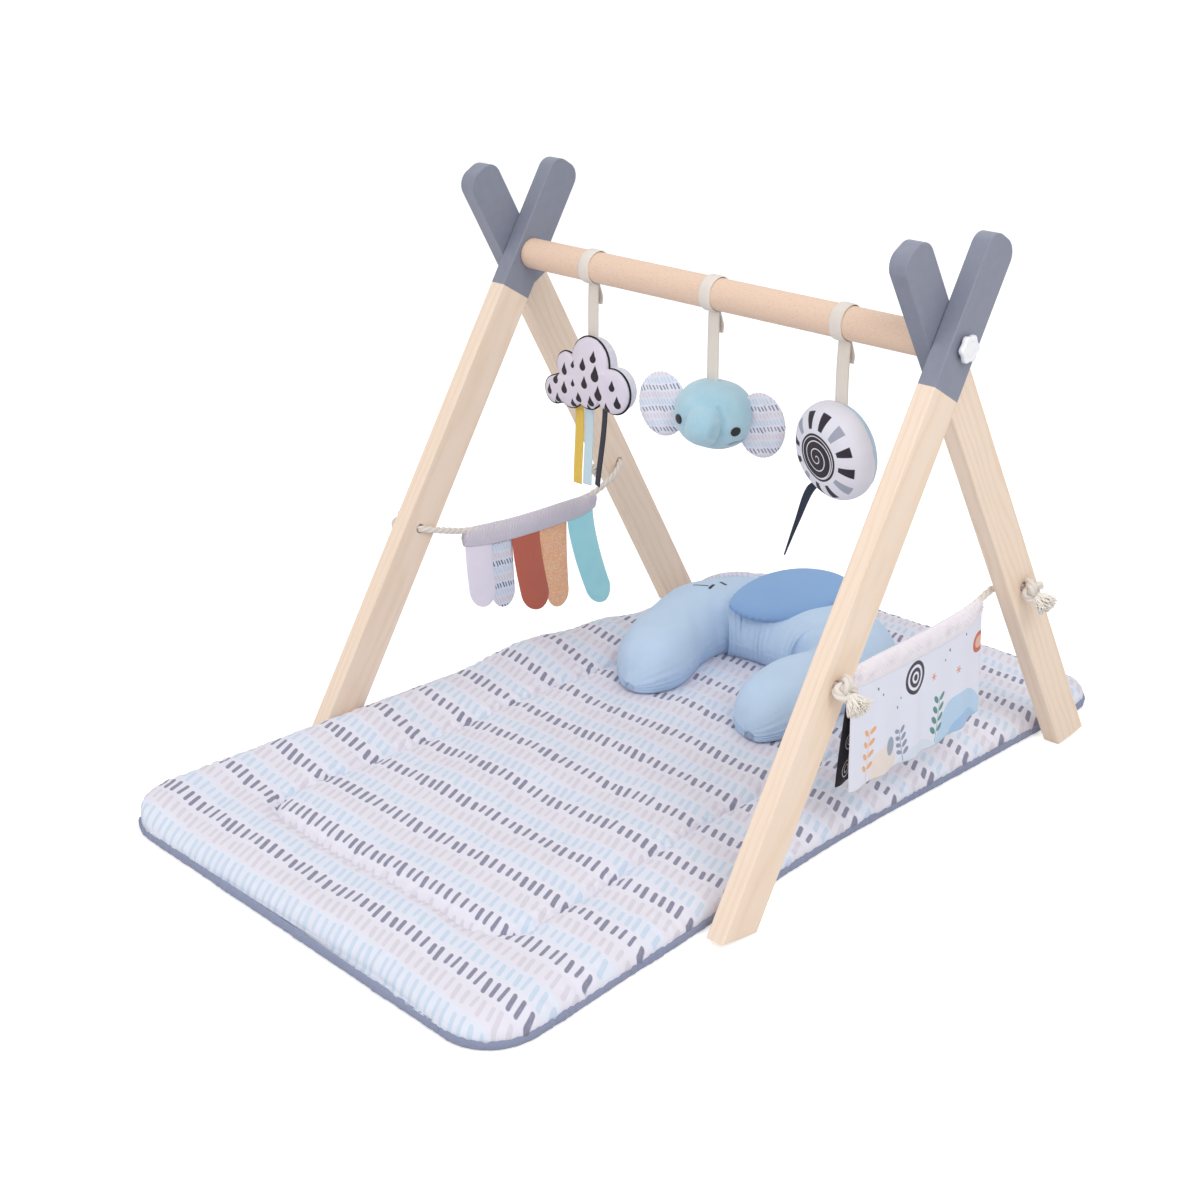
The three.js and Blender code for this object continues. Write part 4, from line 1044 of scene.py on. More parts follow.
def mat_pad():
    """Rows along Y. Each ring runs over the top from left to right and back underneath."""
    near = corner * (1 - np.cos(np.linspace(0, np.pi / 2, 26)))
    straight = np.linspace(mat_front + corner, mat_back - corner, 318)[1:-1]
    rows = np.concatenate([mat_front + near, straight, mat_back - near[::-1]])
    roll_wide = 34
    roll = roll_wide * (1 - np.cos(np.linspace(0, np.pi / 2, 12)))
    wide = mat_left + mat_right
    level_shares = np.linspace(roll_wide / wide, 1 - roll_wide / wide, 212)[1:-1]
    shares = np.concatenate([roll / wide, level_shares, 1 - roll[::-1] / wide])
    y, share = np.meshgrid(rows, shares, indexing="ij")
    inset = corner_inset(y)
    x = (-mat_left + inset) * (1 - share) + (right_edge(y) - inset) * share
    top = np.stack([*pulled(x, y), mat_height(x, y)], -1)
    under = top[:, ::-8].copy()
    under[..., 2] = 6.9
    rings = np.concatenate([top, under], 1)
    marks = np.concatenate([np.stack([x, y], -1), np.stack([x, y], -1)[:, ::-8]], 1)
    marks = np.concatenate([marks, marks[:, :1]], 1)
    closed = [rings[:1] * [1, 1, 0.1] - [0, 0.4, -7.6], rings, rings[-1:] * [1, 1, 0.1] + [0, 0.4, 7.6]]
    return ringed("mat_quilted_pad", np.concatenate(closed), np.concatenate([marks[:1], marks, marks[-1:]]))


def mat_outline(count):
    """The mat's edge, as a closed line of points an equal way apart."""
    near = corner * (1 - np.cos(np.linspace(0, np.pi / 2, 30)))
    straight = np.linspace(mat_front + corner, mat_back - corner, 60)[1:-1]
    rows = np.concatenate([mat_front + near, straight, mat_back - near[::-1]])
    right = np.stack([right_edge(rows) - corner_inset(rows), rows], 1)
    left = np.stack([-mat_left + corner_inset(rows), rows], 1)[::-1]
    line = np.vstack([right, left, right[:1]])
    line = np.stack(pulled(line[:, 0], line[:, 1]), 1)
    return evenly(line, count + 1)[0][:-1]


def mat_backing():
    """A flat slate sheet whose edge is turned up in a puckered roll: rings from the top's middle outward,
    round the roll and back under."""
    line = mat_outline(1500)
    way = np.roll(line, -1, 0) - np.roll(line, 1, 0)
    out = np.stack([way[:, 1], -way[:, 0]], 1) / np.linalg.norm(way, axis=1, keepdims=True)
    s = np.arange(1500) * np.linalg.norm(line[1] - line[0])
    pucker = waves(s, s * 0, 9, 8) + 0.8 * waves(s, s * 0, 70, 9)
    rings = []
    for inset, z, ripple in (
        (60, 6.4, 0), (12, 6.5, 0), (4, 8.0, 0.4), (1, 9.0, 1.0), (-0.8, 8.4, 1.3), (-1.8, 6.2, 1.2),
        (-2, 3.6, 0.9), (-1.4, 1.7, 0.6), (0, 0.4, 0.2), (3, 0, 0), (12, 0, 0), (60, 0, 0),
    ):  # fmt: skip
        flat = line - out * (inset - pucker * ripple * 0.6)[:, None]
        rings.append(np.column_stack([flat, z + ripple * pucker * 0.5 * (z > 5)]))
    rings = np.array(rings)
    along = np.append(s, s[-1] + s[1])
    marks = np.stack(np.meshgrid(np.arange(len(rings)) * 3.0, along, indexing="ij"), -1)
    return ringed("mat_turned_edge", rings, marks)


pad = finish_piece(mat_pad(), mat_print, ["mat_pad"], "mat")
finish_piece(mat_backing(), slate, ["mat_backing"], "mat")
print("mat,", len(pad.data.polygons), "faces")

# %% [markdown]
# The nursing cushion is one stuffed tube bent into a U, the trunk and a leg of a sleeping elephant. It is cut
# from four panels, so the cloth gathers in folds on the inner bend and round the two closed ends. Its ear is a
# stuffed leaf in a darker blue that lies over the back.

# %% Nursing cushion
# Each row is a place along X and Y, a half width and a height.
cushion_rows = np.array(
    [
        (-98, -9, 7, 22), (-98, -3, 22, 38), (-99, 9, 34, 51), (-103, 30, 42, 59), (-114, 58, 44, 62),
        (-128, 92, 45, 63), (-136, 130, 50, 68), (-131, 167, 56, 72), (-100, 197, 64, 73), (-58, 211, 68, 73),
        (-8, 212, 68, 72), (40, 200, 64, 68), (66, 170, 50, 63), (72, 130, 43, 60), (71, 92, 41, 60),
        (71, 58, 43, 60), (73, 33, 42, 57), (76, 12, 33, 48), (78, -2, 21, 35), (78, -8, 7, 22),
    ],
    float,
)  # fmt: skip


def cushion_paint():
    """Light blue cotton, painted a deeper blue below the seam as shade under the bulging top, with a closed eye
    and two lashes on the far side.
    """
    paint = Paint("cushion_blue_cotton", "C3D9F1", 0.93, sheen_weight=0.12)
    u, v, low = paint.cloth()
    x, y, z = paint.place()
    top = paint.mixed(paint.noise(u * 0.03, v * 0.03, 2.0, 3.0), "C5DAF1", "BAD2EC")
    # Painted shade: below the seam the blue is deeper, as shade under the bulging top.
    colour = paint.mixed(paint.inside(0.5 - low, 0.1), top, "B2CAE7")
    lash = None
    lashes = [((-147, 150), (-130, 156), 2.6), ((-127, 163), (-124, 153), 4.0)]
    lashes += [((-128, 177), (-118.5, 175), 3.6)]
    for start, end, wide in lashes:
        mark = stroke_distance(x, y, start, end, wide)
        lash = mark if lash is None else lash.least(mark)
    paint.coloured(paint.mixed(paint.inside(lash.most(60.0 - z), 0.3), colour, "2A2833"))
    paint.raised(weave(paint, u, v))
    return paint


def cushion_rings(rows_count, sides):
    """Sections along the bent middle line. Below the seam the side stands steep, |cos|^0.2 out; above it the
    dome goes |cos|^0.82 out and sin^0.9 up. Folds cross the inner bend and the round ends gather."""
    path = smooth_path(cushion_rows, 40)
    step = np.linalg.norm(np.diff(path[:, :2], axis=0), axis=1)
    run = np.concatenate([[0], np.cumsum(step)])
    ends = 0.5 - 0.5 * np.cos(np.linspace(0, np.pi, rows_count))
    at = run[-1] * (0.35 * ends + 0.65 * np.linspace(0, 1, rows_count))
    path = np.stack([np.interp(at, run, path[:, k]) for k in range(4)], 1)
    side, _ = side_ways(np.column_stack([path[:, :2], np.zeros(rows_count)]), (0, 0, 1))
    turn = around(sides) - np.pi / 2
    rise = np.sin(turn)
    out = np.sign(np.cos(turn)) * np.abs(np.cos(turn)) ** np.where(rise > 0, 0.82, 0.2)
    up = np.where(rise > 0, 0.3 + 0.7 * np.abs(rise) ** 0.9, 0.3 * (1 + 1.12 * rise))
    inner, over = np.clip(out, 0, 1), np.clip(rise, 0, 1)
    bend = ease((at - 130) / 90) * ease((run[-1] - 120 - at) / 100)
    s = at[:, None]
    fold = np.sin(2 * np.pi * s / 14.5 + 1.9 * waves(s, s * 0, 60, 2) + 1.5 * over)
    depth = ease((0.9 - over) / 0.7) * ease((over + 0.12) / 0.2) * inner
    folds = -2.6 * (0.5 + 0.5 * fold) ** 3 * bend[:, None] * depth * (0.6 + 0.4 * waves(s, over * 30, 45, 3))
    tip = np.exp(-at / 24)[:, None] + np.exp(-(run[-1] - at) / 26)[:, None]
    round_tip = np.sin(22 * turn)[None] * tip * 1.1 * np.exp(-(((up - 0.3) / 0.3) ** 2))
    soft = waves(s, out[None] * 60, 95, 9) * 1.2 + waves(s, out[None] * 60, 38, 10) * 0.45
    seam = -1.5 * np.exp(-((rise / 0.05) ** 2))[None] * (0.75 + 0.25 * waves(s, s * 0, 9, 11))
    grow = folds + round_tip + soft + seam
    half = path[:, 2:3] + grow
    tall = path[:, 3:4] + grow
    rings = np.zeros((rows_count, sides, 3))
    rings[..., :2] = path[:, None, :2] + side[:, None, :2] * (out[None] * half)[..., None]
    rings[..., 2] = 24.3 + np.maximum(up[None] * tall, 0)
    arc = np.cumsum(np.linalg.norm(np.diff(rings, axis=1, append=rings[:, :1]), axis=-1), 1)
    arc = np.concatenate([np.zeros((rows_count, 1)), arc], 1)
    # The third mark is 1 below the seam, where the paint lays its painted shade.
    low = np.append(rise < 0.01, True) * 1.0
    marks = np.stack([np.broadcast_to(s, arc.shape), arc, np.broadcast_to(low, arc.shape)], -1)
    return rings, marks


def leaf(name, long, wide, thick, matrix):
    """A stuffed leaf: its outline (1 - a^2)^0.62 swells to half its thickness, with a puckered seam round it."""
    turn, rise = around(220), np.linspace(-np.pi / 2, np.pi / 2, 71)[1:-1]
    a = np.cos(turn)
    outline = np.stack([long / 2 * a, np.sign(np.sin(turn)) * wide / 2 * (1 - a**2) ** 0.62], 1)
    close = np.exp(-np.abs(rise) * 4.5)[:, None]
    size = np.cos(rise)[:, None] ** 0.6 * (1 + 0.014 * np.sin(46 * turn)[None] * close)
    flat = outline[None] * size[..., None]
    y = thick / 2 * np.sin(rise)[:, None] * (1 + 0.06 * waves(flat[..., 0], flat[..., 1], 40, 12))
    y = y - np.sign(y) * 0.9 * np.exp(-(((np.abs(rise)[:, None] - 0.1) / 0.05) ** 2))
    rings = np.stack([flat[..., 0], y, flat[..., 1]], -1)
    marks = np.concatenate([flat, flat[:, :1]], 1)
    return ringed(name, moved(rings, matrix), marks)


body_rings, body_marks = cushion_rings(420, 150)
stuffed_u = ringed("cushion_stuffed_body", body_rings, body_marks)
finish_piece(stuffed_u, cushion_paint(), ["cushion_body"], "cushion")
ear_place = shift(-37, 195.7, 100.95) @ turn_about("Z", 38) @ turn_about("X", -64) @ turn_about("Y", -19)
near_ear = leaf("cushion_ear_leaf", 146, 76, 24, ear_place)
finish_piece(near_ear, mid_blue, ["cushion_ear"], "cushion")
far_place = shift(-151.9, 224.5, 71.7) @ turn_about("Z", 42) @ turn_about("X", 32) @ turn_about("Y", -14)
far_ear = leaf("cushion_far_ear_leaf", 92, 52, 16, far_place)
far_print = print_paint("far_ear_cotton", 0.5, "E2DFE9")
finish_piece(far_ear, far_print, ["cushion_far_ear"], "cushion")
print("cushion,", len(stuffed_u.data.polygons), "faces")

# %% [markdown]
# The right rope carries a banner. Its top is a casing drawn up on the rope, so it gathers in small slanting
# ribs, and two flaps hang from it: a printed one outside and a black one behind. The left rope carries a
# bunting of five padded tabs under a gathered sleeve.


# %% Gathered casing and sleeve
def rope_at(side, y):
    """The rope's middle at a place along Y."""
    path = paths[side]
    keep = np.concatenate([[True], np.diff(path[:, 1]) > 1e-6])
    path = path[keep]
    return np.stack([np.interp(y, path[:, 1], path[:, 0]), y, np.interp(y, path[:, 1], path[:, 2])], -1)


def drop_of(height):
    return height / 2 - rope_radius - 1.6


def gathered(side, start, length, height, thick, rib, lean_share, seed):
    """A cloth tube on the rope. Ribs a few millimetres apart stand out most round the rope and die out at
    the sewn edge below: radius + rib sin(2 pi y / pitch)."""
    rows, sides = 420, 72
    y = np.linspace(start, start + length, rows)
    middle = rope_at(side, y)
    k = np.abs(2 * (y - start) / length - 1)
    pinch = (1 - 0.16 * k**6)[:, None]
    turn = around(sides)
    up = np.sin(turn)[None]
    rib_pitch = 4.4
    phase = 2 * np.pi * (y[:, None] + lean_share * height * up) / rib_pitch
    phase = phase + 1.5 * waves(y[:, None], up * 9, 30, seed)
    uneven = 0.55 + 0.45 * waves(y[:, None], up * 12, 22, seed + 1)
    ribs = rib * np.sin(phase) * ease((up + 0.75) / 0.8) * uneven
    seam = -0.55 * np.exp(-(((up + 0.62) * 9) ** 2)) * np.abs(np.cos(turn))[None]
    bulge = 1 + 0.10 * np.exp(-(((up - 0.35) * 3) ** 2))
    ra = (thick / 2) * pinch * bulge + ribs + seam
    rb = (height / 2) * pinch + ribs * 0.35
    rings = np.stack(
        [
            middle[:, :1] + np.sign(np.cos(turn)) * np.abs(np.cos(turn)) ** 0.8 * ra,
            np.broadcast_to(middle[:, 1:2], (rows, sides)),
            middle[:, 2:] - drop_of(height) + np.sin(turn) * rb,
        ],
        -1,
    )
    arc = np.append(turn, 2 * np.pi) * height / 3
    marks = np.stack(np.meshgrid(y, arc, indexing="ij"), -1)
    return rings, marks


def across_fold(piece, paint, nodes):
    """Gives cloth on a rope its paint, hides the solids that it stands for and bakes its place into its mesh; it
    is joined to no body.
    """
    piece.data.materials.clear()
    piece.data.materials.append(paint.material)
    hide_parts(*nodes)
    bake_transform(piece)
    return piece


casing_paint = cotton_paint("casing_cotton", "F3EDF3", "EAE4EC")
rings, marks = gathered("right", -105, 232, 24, 12, 1.15, 0.45, 21)
casing = ringed("banner_gathered_casing", rings, marks)
casing = across_fold(casing, casing_paint, ["banner_casing"])
rings, marks = gathered("left", -114, 221, 26, 10, 0.85, 0.15, 31)
sleeve = ringed("bunting_gathered_sleeve", moved(rings, half_turn), marks)
across_fold(sleeve, lilac, ["bunting_sleeve"])
print("casing and sleeve")


# %% Banner flaps
def generic_print():
    """Plain shapes on pale cloth: hills, pebbles, leaf sprigs, an arc of stripes, dots and small crosses."""
    paint = Paint("pale_print_cotton", "E3E5F3", 0.93, sheen_weight=0.15)
    u, v, side = paint.cloth()
    colour = paint.mixed(paint.noise(u * 0.03, v * 0.03), "E6E7F4", "DFE2F1")

    def lay(distance, code, soft=0.25):
        nonlocal colour
        colour = paint.mixed(paint.inside(distance, soft), colour, code)

    def oval(x, y, wide, tall, code, lean_degrees=0.0):
        c, s = math.cos(math.radians(lean_degrees)), math.sin(math.radians(lean_degrees))
        a, b = (u - x) * c + (v - y) * s, (v - y) * c - (u - x) * s
        lay(oval_distance(a, b, wide, tall), code)

    def sprig(x, y, height, lean_degrees, code, leaf_long):
        """A stem with pairs of leaves."""
        c, s = math.cos(math.radians(lean_degrees)), math.sin(math.radians(lean_degrees))
        lay(stroke_distance(u, v, (x, y), (x + s * height, y + c * height), 0.9), code)
        for k in range(1, 5):
            at = height * k / 4.4
            for way in (-1, 1):
                reach = leaf_long * 0.55
                leaf_x, leaf_y = x + s * at + way * c * reach, y + c * at + reach * 0.5
                oval(leaf_x, leaf_y, leaf_long, leaf_long * 0.5, code, lean_degrees * -1 + way * 38)

    oval(196, -8, 92, 96, "B9D3EC")
    oval(205, -16, 62, 64, "A3C3E6")
    oval(118, -6, 70, 40, "D8DFEE")
    oval(60, 4, 46, 52, "E9DDD6")
    sprig(150, 4, 46, 10, "5F8E8C", 11)
    sprig(96, 2, 36, -14, "8E97AC", 9)
    sprig(30, 2, 52, 6, "E9AE7C", 10)
    oval(70, 26, 15, 20, "9AA4B8", 12)
    oval(232, 78, 22, 22, "C66B55")
    oval(232, 78, 13, 13, "E3B4A4")
    for radius, code in ((17, "3A3040"), (13, "E6E7F4"), (10, "3A3040"), (6, "E6E7F4"), (3.4, "3A3040")):
        oval(112, 84, radius * 2, radius * 2, code)
    dots = [(176, 92, 2.6), (168, 84, 2.0), (82, 62, 2.4), (88, 70, 1.8)]
    dots += [(46, 92, 2.4), (54, 84, 2.0), (206, 98, 2.2), (24, 76, 2.2)]
    for x, y, size in dots:
        oval(x, y, size, size * 1.5, "6C7186", 25)
    for x, y in ((146, 74), (192, 66)):
        for way in (0, 60, 120):
            c, s = math.cos(math.radians(way)) * 3.6, math.sin(math.radians(way)) * 3.6
            lay(stroke_distance(u, v, (x - c, y - s), (x + c, y + s), 1.1), "D98A6C")
    back = paint.mixed(side.over(-0.5), colour, "E6E5EE")
    paint.coloured(back)
    paint.raised(weave(paint, u, v))
    return paint


def night_print():
    """Black cloth with loose white rings and lines, and a few orange leaves."""
    paint = Paint("black_print_cotton", "1D1820", 0.93)
    u, v, _ = paint.cloth()
    x, y = u - (u * (1 / 34.0)).floor() * 34.0 - 17.0, v - (v * (1 / 30.0)).floor() * 30.0 - 15.0
    ring = abs((x * x + y * y).root() - 8.5) - 0.55
    inner = abs((x * x + y * y).root() - 4.2) - 0.5
    lines = paint.inside(ring.least(inner), 0.2)
    leaf_mark = paint.inside(oval_distance(u - 222.0, v - 18.0, 16, 54), 0.3).most(
        paint.inside(oval_distance(u - 26.0, v - 30.0, 14, 40), 0.3)
    )
    colour = paint.mixed(lines, "1D1820", "F0EEF3")
    paint.coloured(paint.mixed(leaf_mark, colour, "E39A62"))
    paint.raised(weave(paint, u, v))
    return paint


def flap(name, splay, fold_shift, seed):
    """A sheet that hangs from the casing. It stands out by splay + depth sin(2 pi 5 a) times how far down."""
    across, down = np.meshgrid(np.linspace(0, 1, 260), np.linspace(0, 1, 60), indexing="ij")
    y = -105 + 236 * across
    top = rope_at("right", y)
    top[..., 2] -= drop_of(24) + 12 + gap - 2.5
    fold = 3.4 * np.sin(2 * np.pi * 5 * across + fold_shift + 0.5 * waves(y, down * 40, 90, seed))
    fold = fold * 0.6 + 0.9 * waves(y, down * 30, 45, seed + 1)
    out = np.sign(splay) * 1.1 + (splay + fold) * (0.08 + 0.92 * down)
    middle = top + np.stack([out, 1.2 * np.sin(3 * down) * (across - 0.5), -107.5 * down], -1)
    marks = np.stack([236 * across, 105 - 105 * down], -1)
    made = layered(name, middle, np.full(y.shape, 1.1), marks)
    widths = np.linalg.norm(np.diff(middle, axis=0), axis=-1).sum(0).mean()
    drops = np.linalg.norm(np.diff(middle, axis=1), axis=-1).sum(1).mean()
    return made, (widths * mm, drops * mm)


outer_paint, inner_paint = generic_print(), night_print()
for name, node, paint, slot, splay, fold_shift, seed in (
    ("banner_print_flap", "banner_outer_flap", outer_paint, "pale_print_cotton", 3.4, 0.0, 41),
    ("banner_black_flap", "banner_inner_flap", inner_paint, "black_cotton", -12.0, 0.6, 47),
):
    made, flat = flap(name, splay, fold_shift, seed)
    across_fold(made, paint, [node])
    print(name, "cut to", [round(x, 3) for x in flat], "m")


# %% Bunting tabs
def squiggle_paint():
    """Peach cloth with fine white wandering lines."""
    paint = Paint("peach_cotton", "F3BC90", 0.93)
    u, v, _ = paint.cloth()
    wander = paint.noise(u * 0.16, v * 0.16, 0.0, 3.0)
    line = paint.inside(abs((wander * 22.0).sine()) - 0.22, 0.2)
    paint.coloured(paint.mixed(line * 0.8, "F6B98C", "FFF6EA"))
    paint.raised(weave(paint, u, v))
    return paint


tab_paints = [
    (cotton_paint("tab_lilac_cotton", "F0E9F5", "E8E1EF"), "lilac_cotton"),
    (print_paint("tab_print_cotton", 0.42, "DEE4F4", 0.0, 0.6, "55566A"), "pale_print_cotton"),
    (cotton_paint("rust_cotton", "BD5F4B", "C56955"), "rust_cotton"),
    (squiggle_paint(), "peach_cotton"),
    (velour_paint("teal_velour", "93DEE9", "ABEBF2"), "teal_velour"),
]
tab_places, tab_wides = [-84, -45, -6, 44, 89], [43, 39, 47, 36, 42]
tab_flares = [0, 0, 0, 0.36, 0.1]
tab_lengths, tab_leans = [76, 83, 99, 107, 121], [9, 6, 22, 12, 42]


def tab(index):
    """A lightly stuffed finger of cloth: straight sides, a round end, and a seam along its edge."""
    y, length, tip = -tab_places[index], tab_lengths[index], tab_wides[index] / 2
    rows, sides = 110, 64
    share = np.linspace(0, np.pi / 2, rows)
    down = np.sin(share)
    left = length * (1 - down)
    half = np.where(left < tip, np.sqrt(np.maximum(tip**2 - (tip - left) ** 2, 0)), tip)
    half = np.maximum(half - 0.3, 0.4) * (1 + tab_flares[index] * (1 - down))
    swell = 2.6 * (0.45 + 0.55 * np.sin(np.pi * np.minimum(down + 0.1, 0.9))) * np.minimum(half / 7, 1)
    turn = around(sides)
    c, s = np.cos(turn), np.sin(turn)
    edge = np.sign(s) * np.abs(s) ** 0.9
    q_y = edge[None] * half[:, None]
    q_x = np.sign(c) * np.abs(c) ** 1.15 * swell[:, None]
    q_x = q_x * (1 + 0.10 * waves(q_y, length * down[:, None], 24, 50 + index)) + 3.0 * (index in (1, 3))
    lean_by = -tab_leans[index] * down**1.4
    hung = rope_at("left", y + q_y)
    hung[..., 2] -= drop_of(26) + 13 + gap - 2.2
    out_y = np.broadcast_to(lean_by[:, None], q_y.shape)
    down_z = np.broadcast_to(-(length + 2) * down[:, None], q_y.shape)
    rings = hung + np.stack([q_x, out_y, down_z], -1)
    rings[..., 1] = y + q_y + lean_by[:, None]
    mark_u = np.concatenate([q_y, q_y[:, :1]], 1)
    mark_v = np.broadcast_to(length * down[:, None], (rows, sides + 1))
    marks = np.stack([mark_u, mark_v], -1)
    return ringed(f"bunting_finger_{index + 1}", moved(rings, half_turn), marks)


for index, (paint, slot) in enumerate(tab_paints):
    finger = across_fold(tab(index), paint, [f"bunting_tab_{index + 1}"])
print("five tabs")

# %% [markdown]
# Each toy hangs from a cotton tape that loops over the bar. The loop is stitched under the bar, and the end
# that is left over hangs behind the strap as a short doubled tail.

# %% Straps
strap_top = bar_height - 17.4 - 1.8 - gap


def bar_loop(x, toy):
    """A band round the bar, a little loose at the sides."""
    turn = around(96)
    across = np.array([-7.5, -6.9, -5, 0, 5, 6.9, 7.5, 7.5, 6.9, 5, 0, -5, -6.9, -7.5])
    lift = np.array([0.5, 1.0, 1.25, 1.3, 1.25, 1.0, 0.5, -0.1, -0.3, -0.35, -0.35, -0.35, -0.3, -0.1])
    loose = 17.6 + 0.35 * np.cos(2 * turn) + 0.15 * np.sin(5 * turn)
    r = loose[:, None] + lift[None]
    ring_y, ring_z = r * np.sin(turn)[:, None], bar_height - r * np.cos(turn)[:, None]
    rings = np.stack([np.broadcast_to(x + across, r.shape), ring_y, ring_z], -1)
    quads = squares(96, 14, True)
    last = np.arange(14)
    join = np.stack([95 * 14 + last, 95 * 14 + (last + 1) % 14, (last + 1) % 14, last], 1)
    u, v = np.arange(97)[:, None] * 1.15 + across[None] * 0, np.broadcast_to(across, (97, 14))
    marks = np.stack([np.column_stack([u, u[:, :1]]), np.column_stack([v, v[:, :1]])], -1)
    marks = np.concatenate([marks, np.zeros(marks.shape[:2] + (1,))], -1)
    k = (last + 1)
    join_marks = np.stack([marks[95, last], marks[95, k], marks[96, k], marks[96, last]], 1)
    loop_marks = corner_marks(marks[:96], 96, 14, True)
    return make(toy + "_tape_loop", rings.reshape(-1, 3), [quads, join], [loop_marks, join_marks])


def tape_strip(name, points, wide, thick, count=90, turn_degrees=0.0):
    """A flat tape along a path in Y and Z, its width along X, slightly hollow across."""
    path, along = evenly(smooth_path(points), count)
    across = np.linspace(-0.5, 0.5, 9)
    a, w = np.meshgrid(along, across * wide, indexing="ij")
    swivel = math.radians(turn_degrees)
    middle = path[:, None] + w[..., None] * [math.cos(swivel), math.sin(swivel), 0]
    thickness = np.broadcast_to(thick * (1 - 0.35 * np.abs(across * 2) ** 6), a.shape)
    return layered(name, middle, thickness, np.stack([a, w], -1))


def hanging_tape(x, bottom, toy, sway):
    """The strap from under the loop into the toy's seam, and the doubled tail behind it."""
    top = strap_top + 0.4
    down = [(x, 0, top), (x, -0.5, top - 8), (x + sway, -0.6, (top + bottom) / 2), (x + sway, 0, bottom)]
    tail = [(x + 0.5, 1.0, top), (x + 0.8, 3.6, top - 7), (x + 1.4, 5.4, top - 15), (x + 1.6, 4.2, top - 22)]
    return [tape_strip(toy + "_tape", down, 15, 1.6), tape_strip(toy + "_tape_tail", tail, 14.4, 1.5, 40)]


hung = (("cloud", -171, 421, 0.0), ("elephant", 4, 406, 0.3), ("sun", 173, 418, -0.5))
for toy, x, top, sway in hung:
    finish_piece(bar_loop(x, toy), tape, [toy + "_bar_loop"], toy + "_loop")
    strap, tail = hanging_tape(x, top - 5, toy, sway)
    finish_piece(strap, tape, [toy + "_strap"], toy + "_toy")
    finish_piece(tail, tape, [], toy + "_toy")
print("three loops and straps")

# %% [markdown]
# The cloud is two printed faces joined by a plain side strip, with a thin black cord sewn into the front seam.
# Its outline is the furthest reach of six round lobes. Three ribbons are caught in the bottom seam.

# %% Cloud
lobes = np.array(
    [
        (-0.409, -0.19, 0.117), (-0.273, 0.036, 0.117), (-0.008, 0.117, 0.204),
        (0.249, -0.08, 0.182), (-0.029, -0.117, 0.16), (-0.232, -0.16, 0.146),
    ]
) * 137  # fmt: skip


def cloud_outline(count):
    """The furthest that any lobe reaches each way, softened a little in the notches."""
    turn = around(count)
    way = np.stack([np.cos(turn), np.sin(turn)], 1)
    along = way @ lobes[:, :2].T
    off = (lobes[:, :2] ** 2).sum(1) - along**2
    reach = np.where(lobes[:, 2] ** 2 > off, along + np.sqrt(np.maximum(lobes[:, 2] ** 2 - off, 0)), 0)
    far = reach.max(1)
    for _ in range(3):
        far = far * 0.5 + 0.25 * (np.roll(far, 1) + np.roll(far, -1))
    return way * far[:, None]


cloud_line = cloud_outline(360)
cloud_middle = 421 - cloud_line[:, 1].max()


# Drops on the cloud's face: place of the round end's middle along X and Z, and length.
drops = (
    (9, 22, 14), (-6, 11, 15), (-22, 9, 9), (-36, 0, 15), (-50, -13, 14), (-61, -28, 13), (13, 3, 19),
    (-3, -9, 15), (-21, -12, 9), (-35, -21, 15), (18, -18, 18), (38, -5, 13), (45, -23, 15), (-13, -28, 13),
    (-47, -35, 12), (-23, -36, 11), (5, -29, 13), (29, -32, 13), (0, -36, 8), (-52, -42, 8),
)  # fmt: skip


def drop_print():
    """Black raindrops on lilac cloth: a round end of radius r that narrows to a point above."""
    paint = Paint("cloud_cotton", "E4DEEA", 0.93, sheen_weight=0.12)
    x, z, side = paint.cloth()
    nearest = None
    for mid_x, mid_z, long in drops:
        a, b = x - mid_x, z - mid_z
        r = long * 0.31
        taper = abs(a) - r * (1 - b * (1 / (long - r)))
        one = ((a * a + b * b).root() - r).least(taper.most(b * -1.0).most(b - (long - r)))
        nearest = one if nearest is None else nearest.least(one)
    front = paint.inside(side + 0.5, 0.3)
    cloth_colour = paint.mixed(paint.noise(x * 0.04, z * 0.04), "E4DDEA", "D9D1E0")
    printed = paint.mixed(paint.inside(nearest, 0.3) * front, cloth_colour, "221D28")
    paint.coloured(paint.mixed(front, "E2E2EE", printed))
    paint.raised(weave(paint, x, z + side))
    return paint


def cloud_body():
    """Rings from the front face's middle out to the front seam, straight back along the side strip, and in."""
    shares = np.sin(np.linspace(0.02, np.pi / 2, 40))
    dome = 9 * np.maximum(1 - shares**2.6, 0) ** 0.42
    front = [(q, -6 - d, -1.0) for q, d in zip(shares, dome)]
    strip = [(1.004 - 0.0045 * (y + 5.7), y, 1.0) for y in np.linspace(-5.7, 5.7, 12)]
    back = [(0.95 * q, 6 + d, 1.0) for q, d in zip(shares[::-1], dome[::-1])]
    rings, marks = [], []
    s = around(360)
    for q, y, side in front + strip + back:
        tuck = 0.6 * np.exp(-((abs(y) - 6) ** 2) / 1.2)
        pucker = 0.6 * waves(s * 60, s * 0, 13, 61) * math.exp(-((1 - q) * 14)) * (0.4 + (abs(y) < 5.9))
        flat = cloud_line * q
        flat = flat * (1 + ((pucker - tuck) / np.linalg.norm(cloud_line, axis=1)))[:, None]
        rings.append(np.column_stack([flat[:, 0] - 167, np.full(360, y), flat[:, 1] + cloud_middle]))
        marks.append(np.column_stack([np.vstack([flat, flat[:1]]), np.full(361, side)]))
    return ringed("cloud_stuffed_body", np.array(rings), np.array(marks))


def piping():
    """A thin covered cord along the front seam."""
    line = np.vstack([cloud_line, cloud_line[:1]]) * 1.006
    front_seam = np.column_stack([line[:, 0] - 167, np.full(361, -5.9), line[:, 1] + cloud_middle])
    path, along = evenly(front_seam, 500)
    return ringed("cloud_piping", tube(path, 1.2, around(12), (0, 1, 0)))


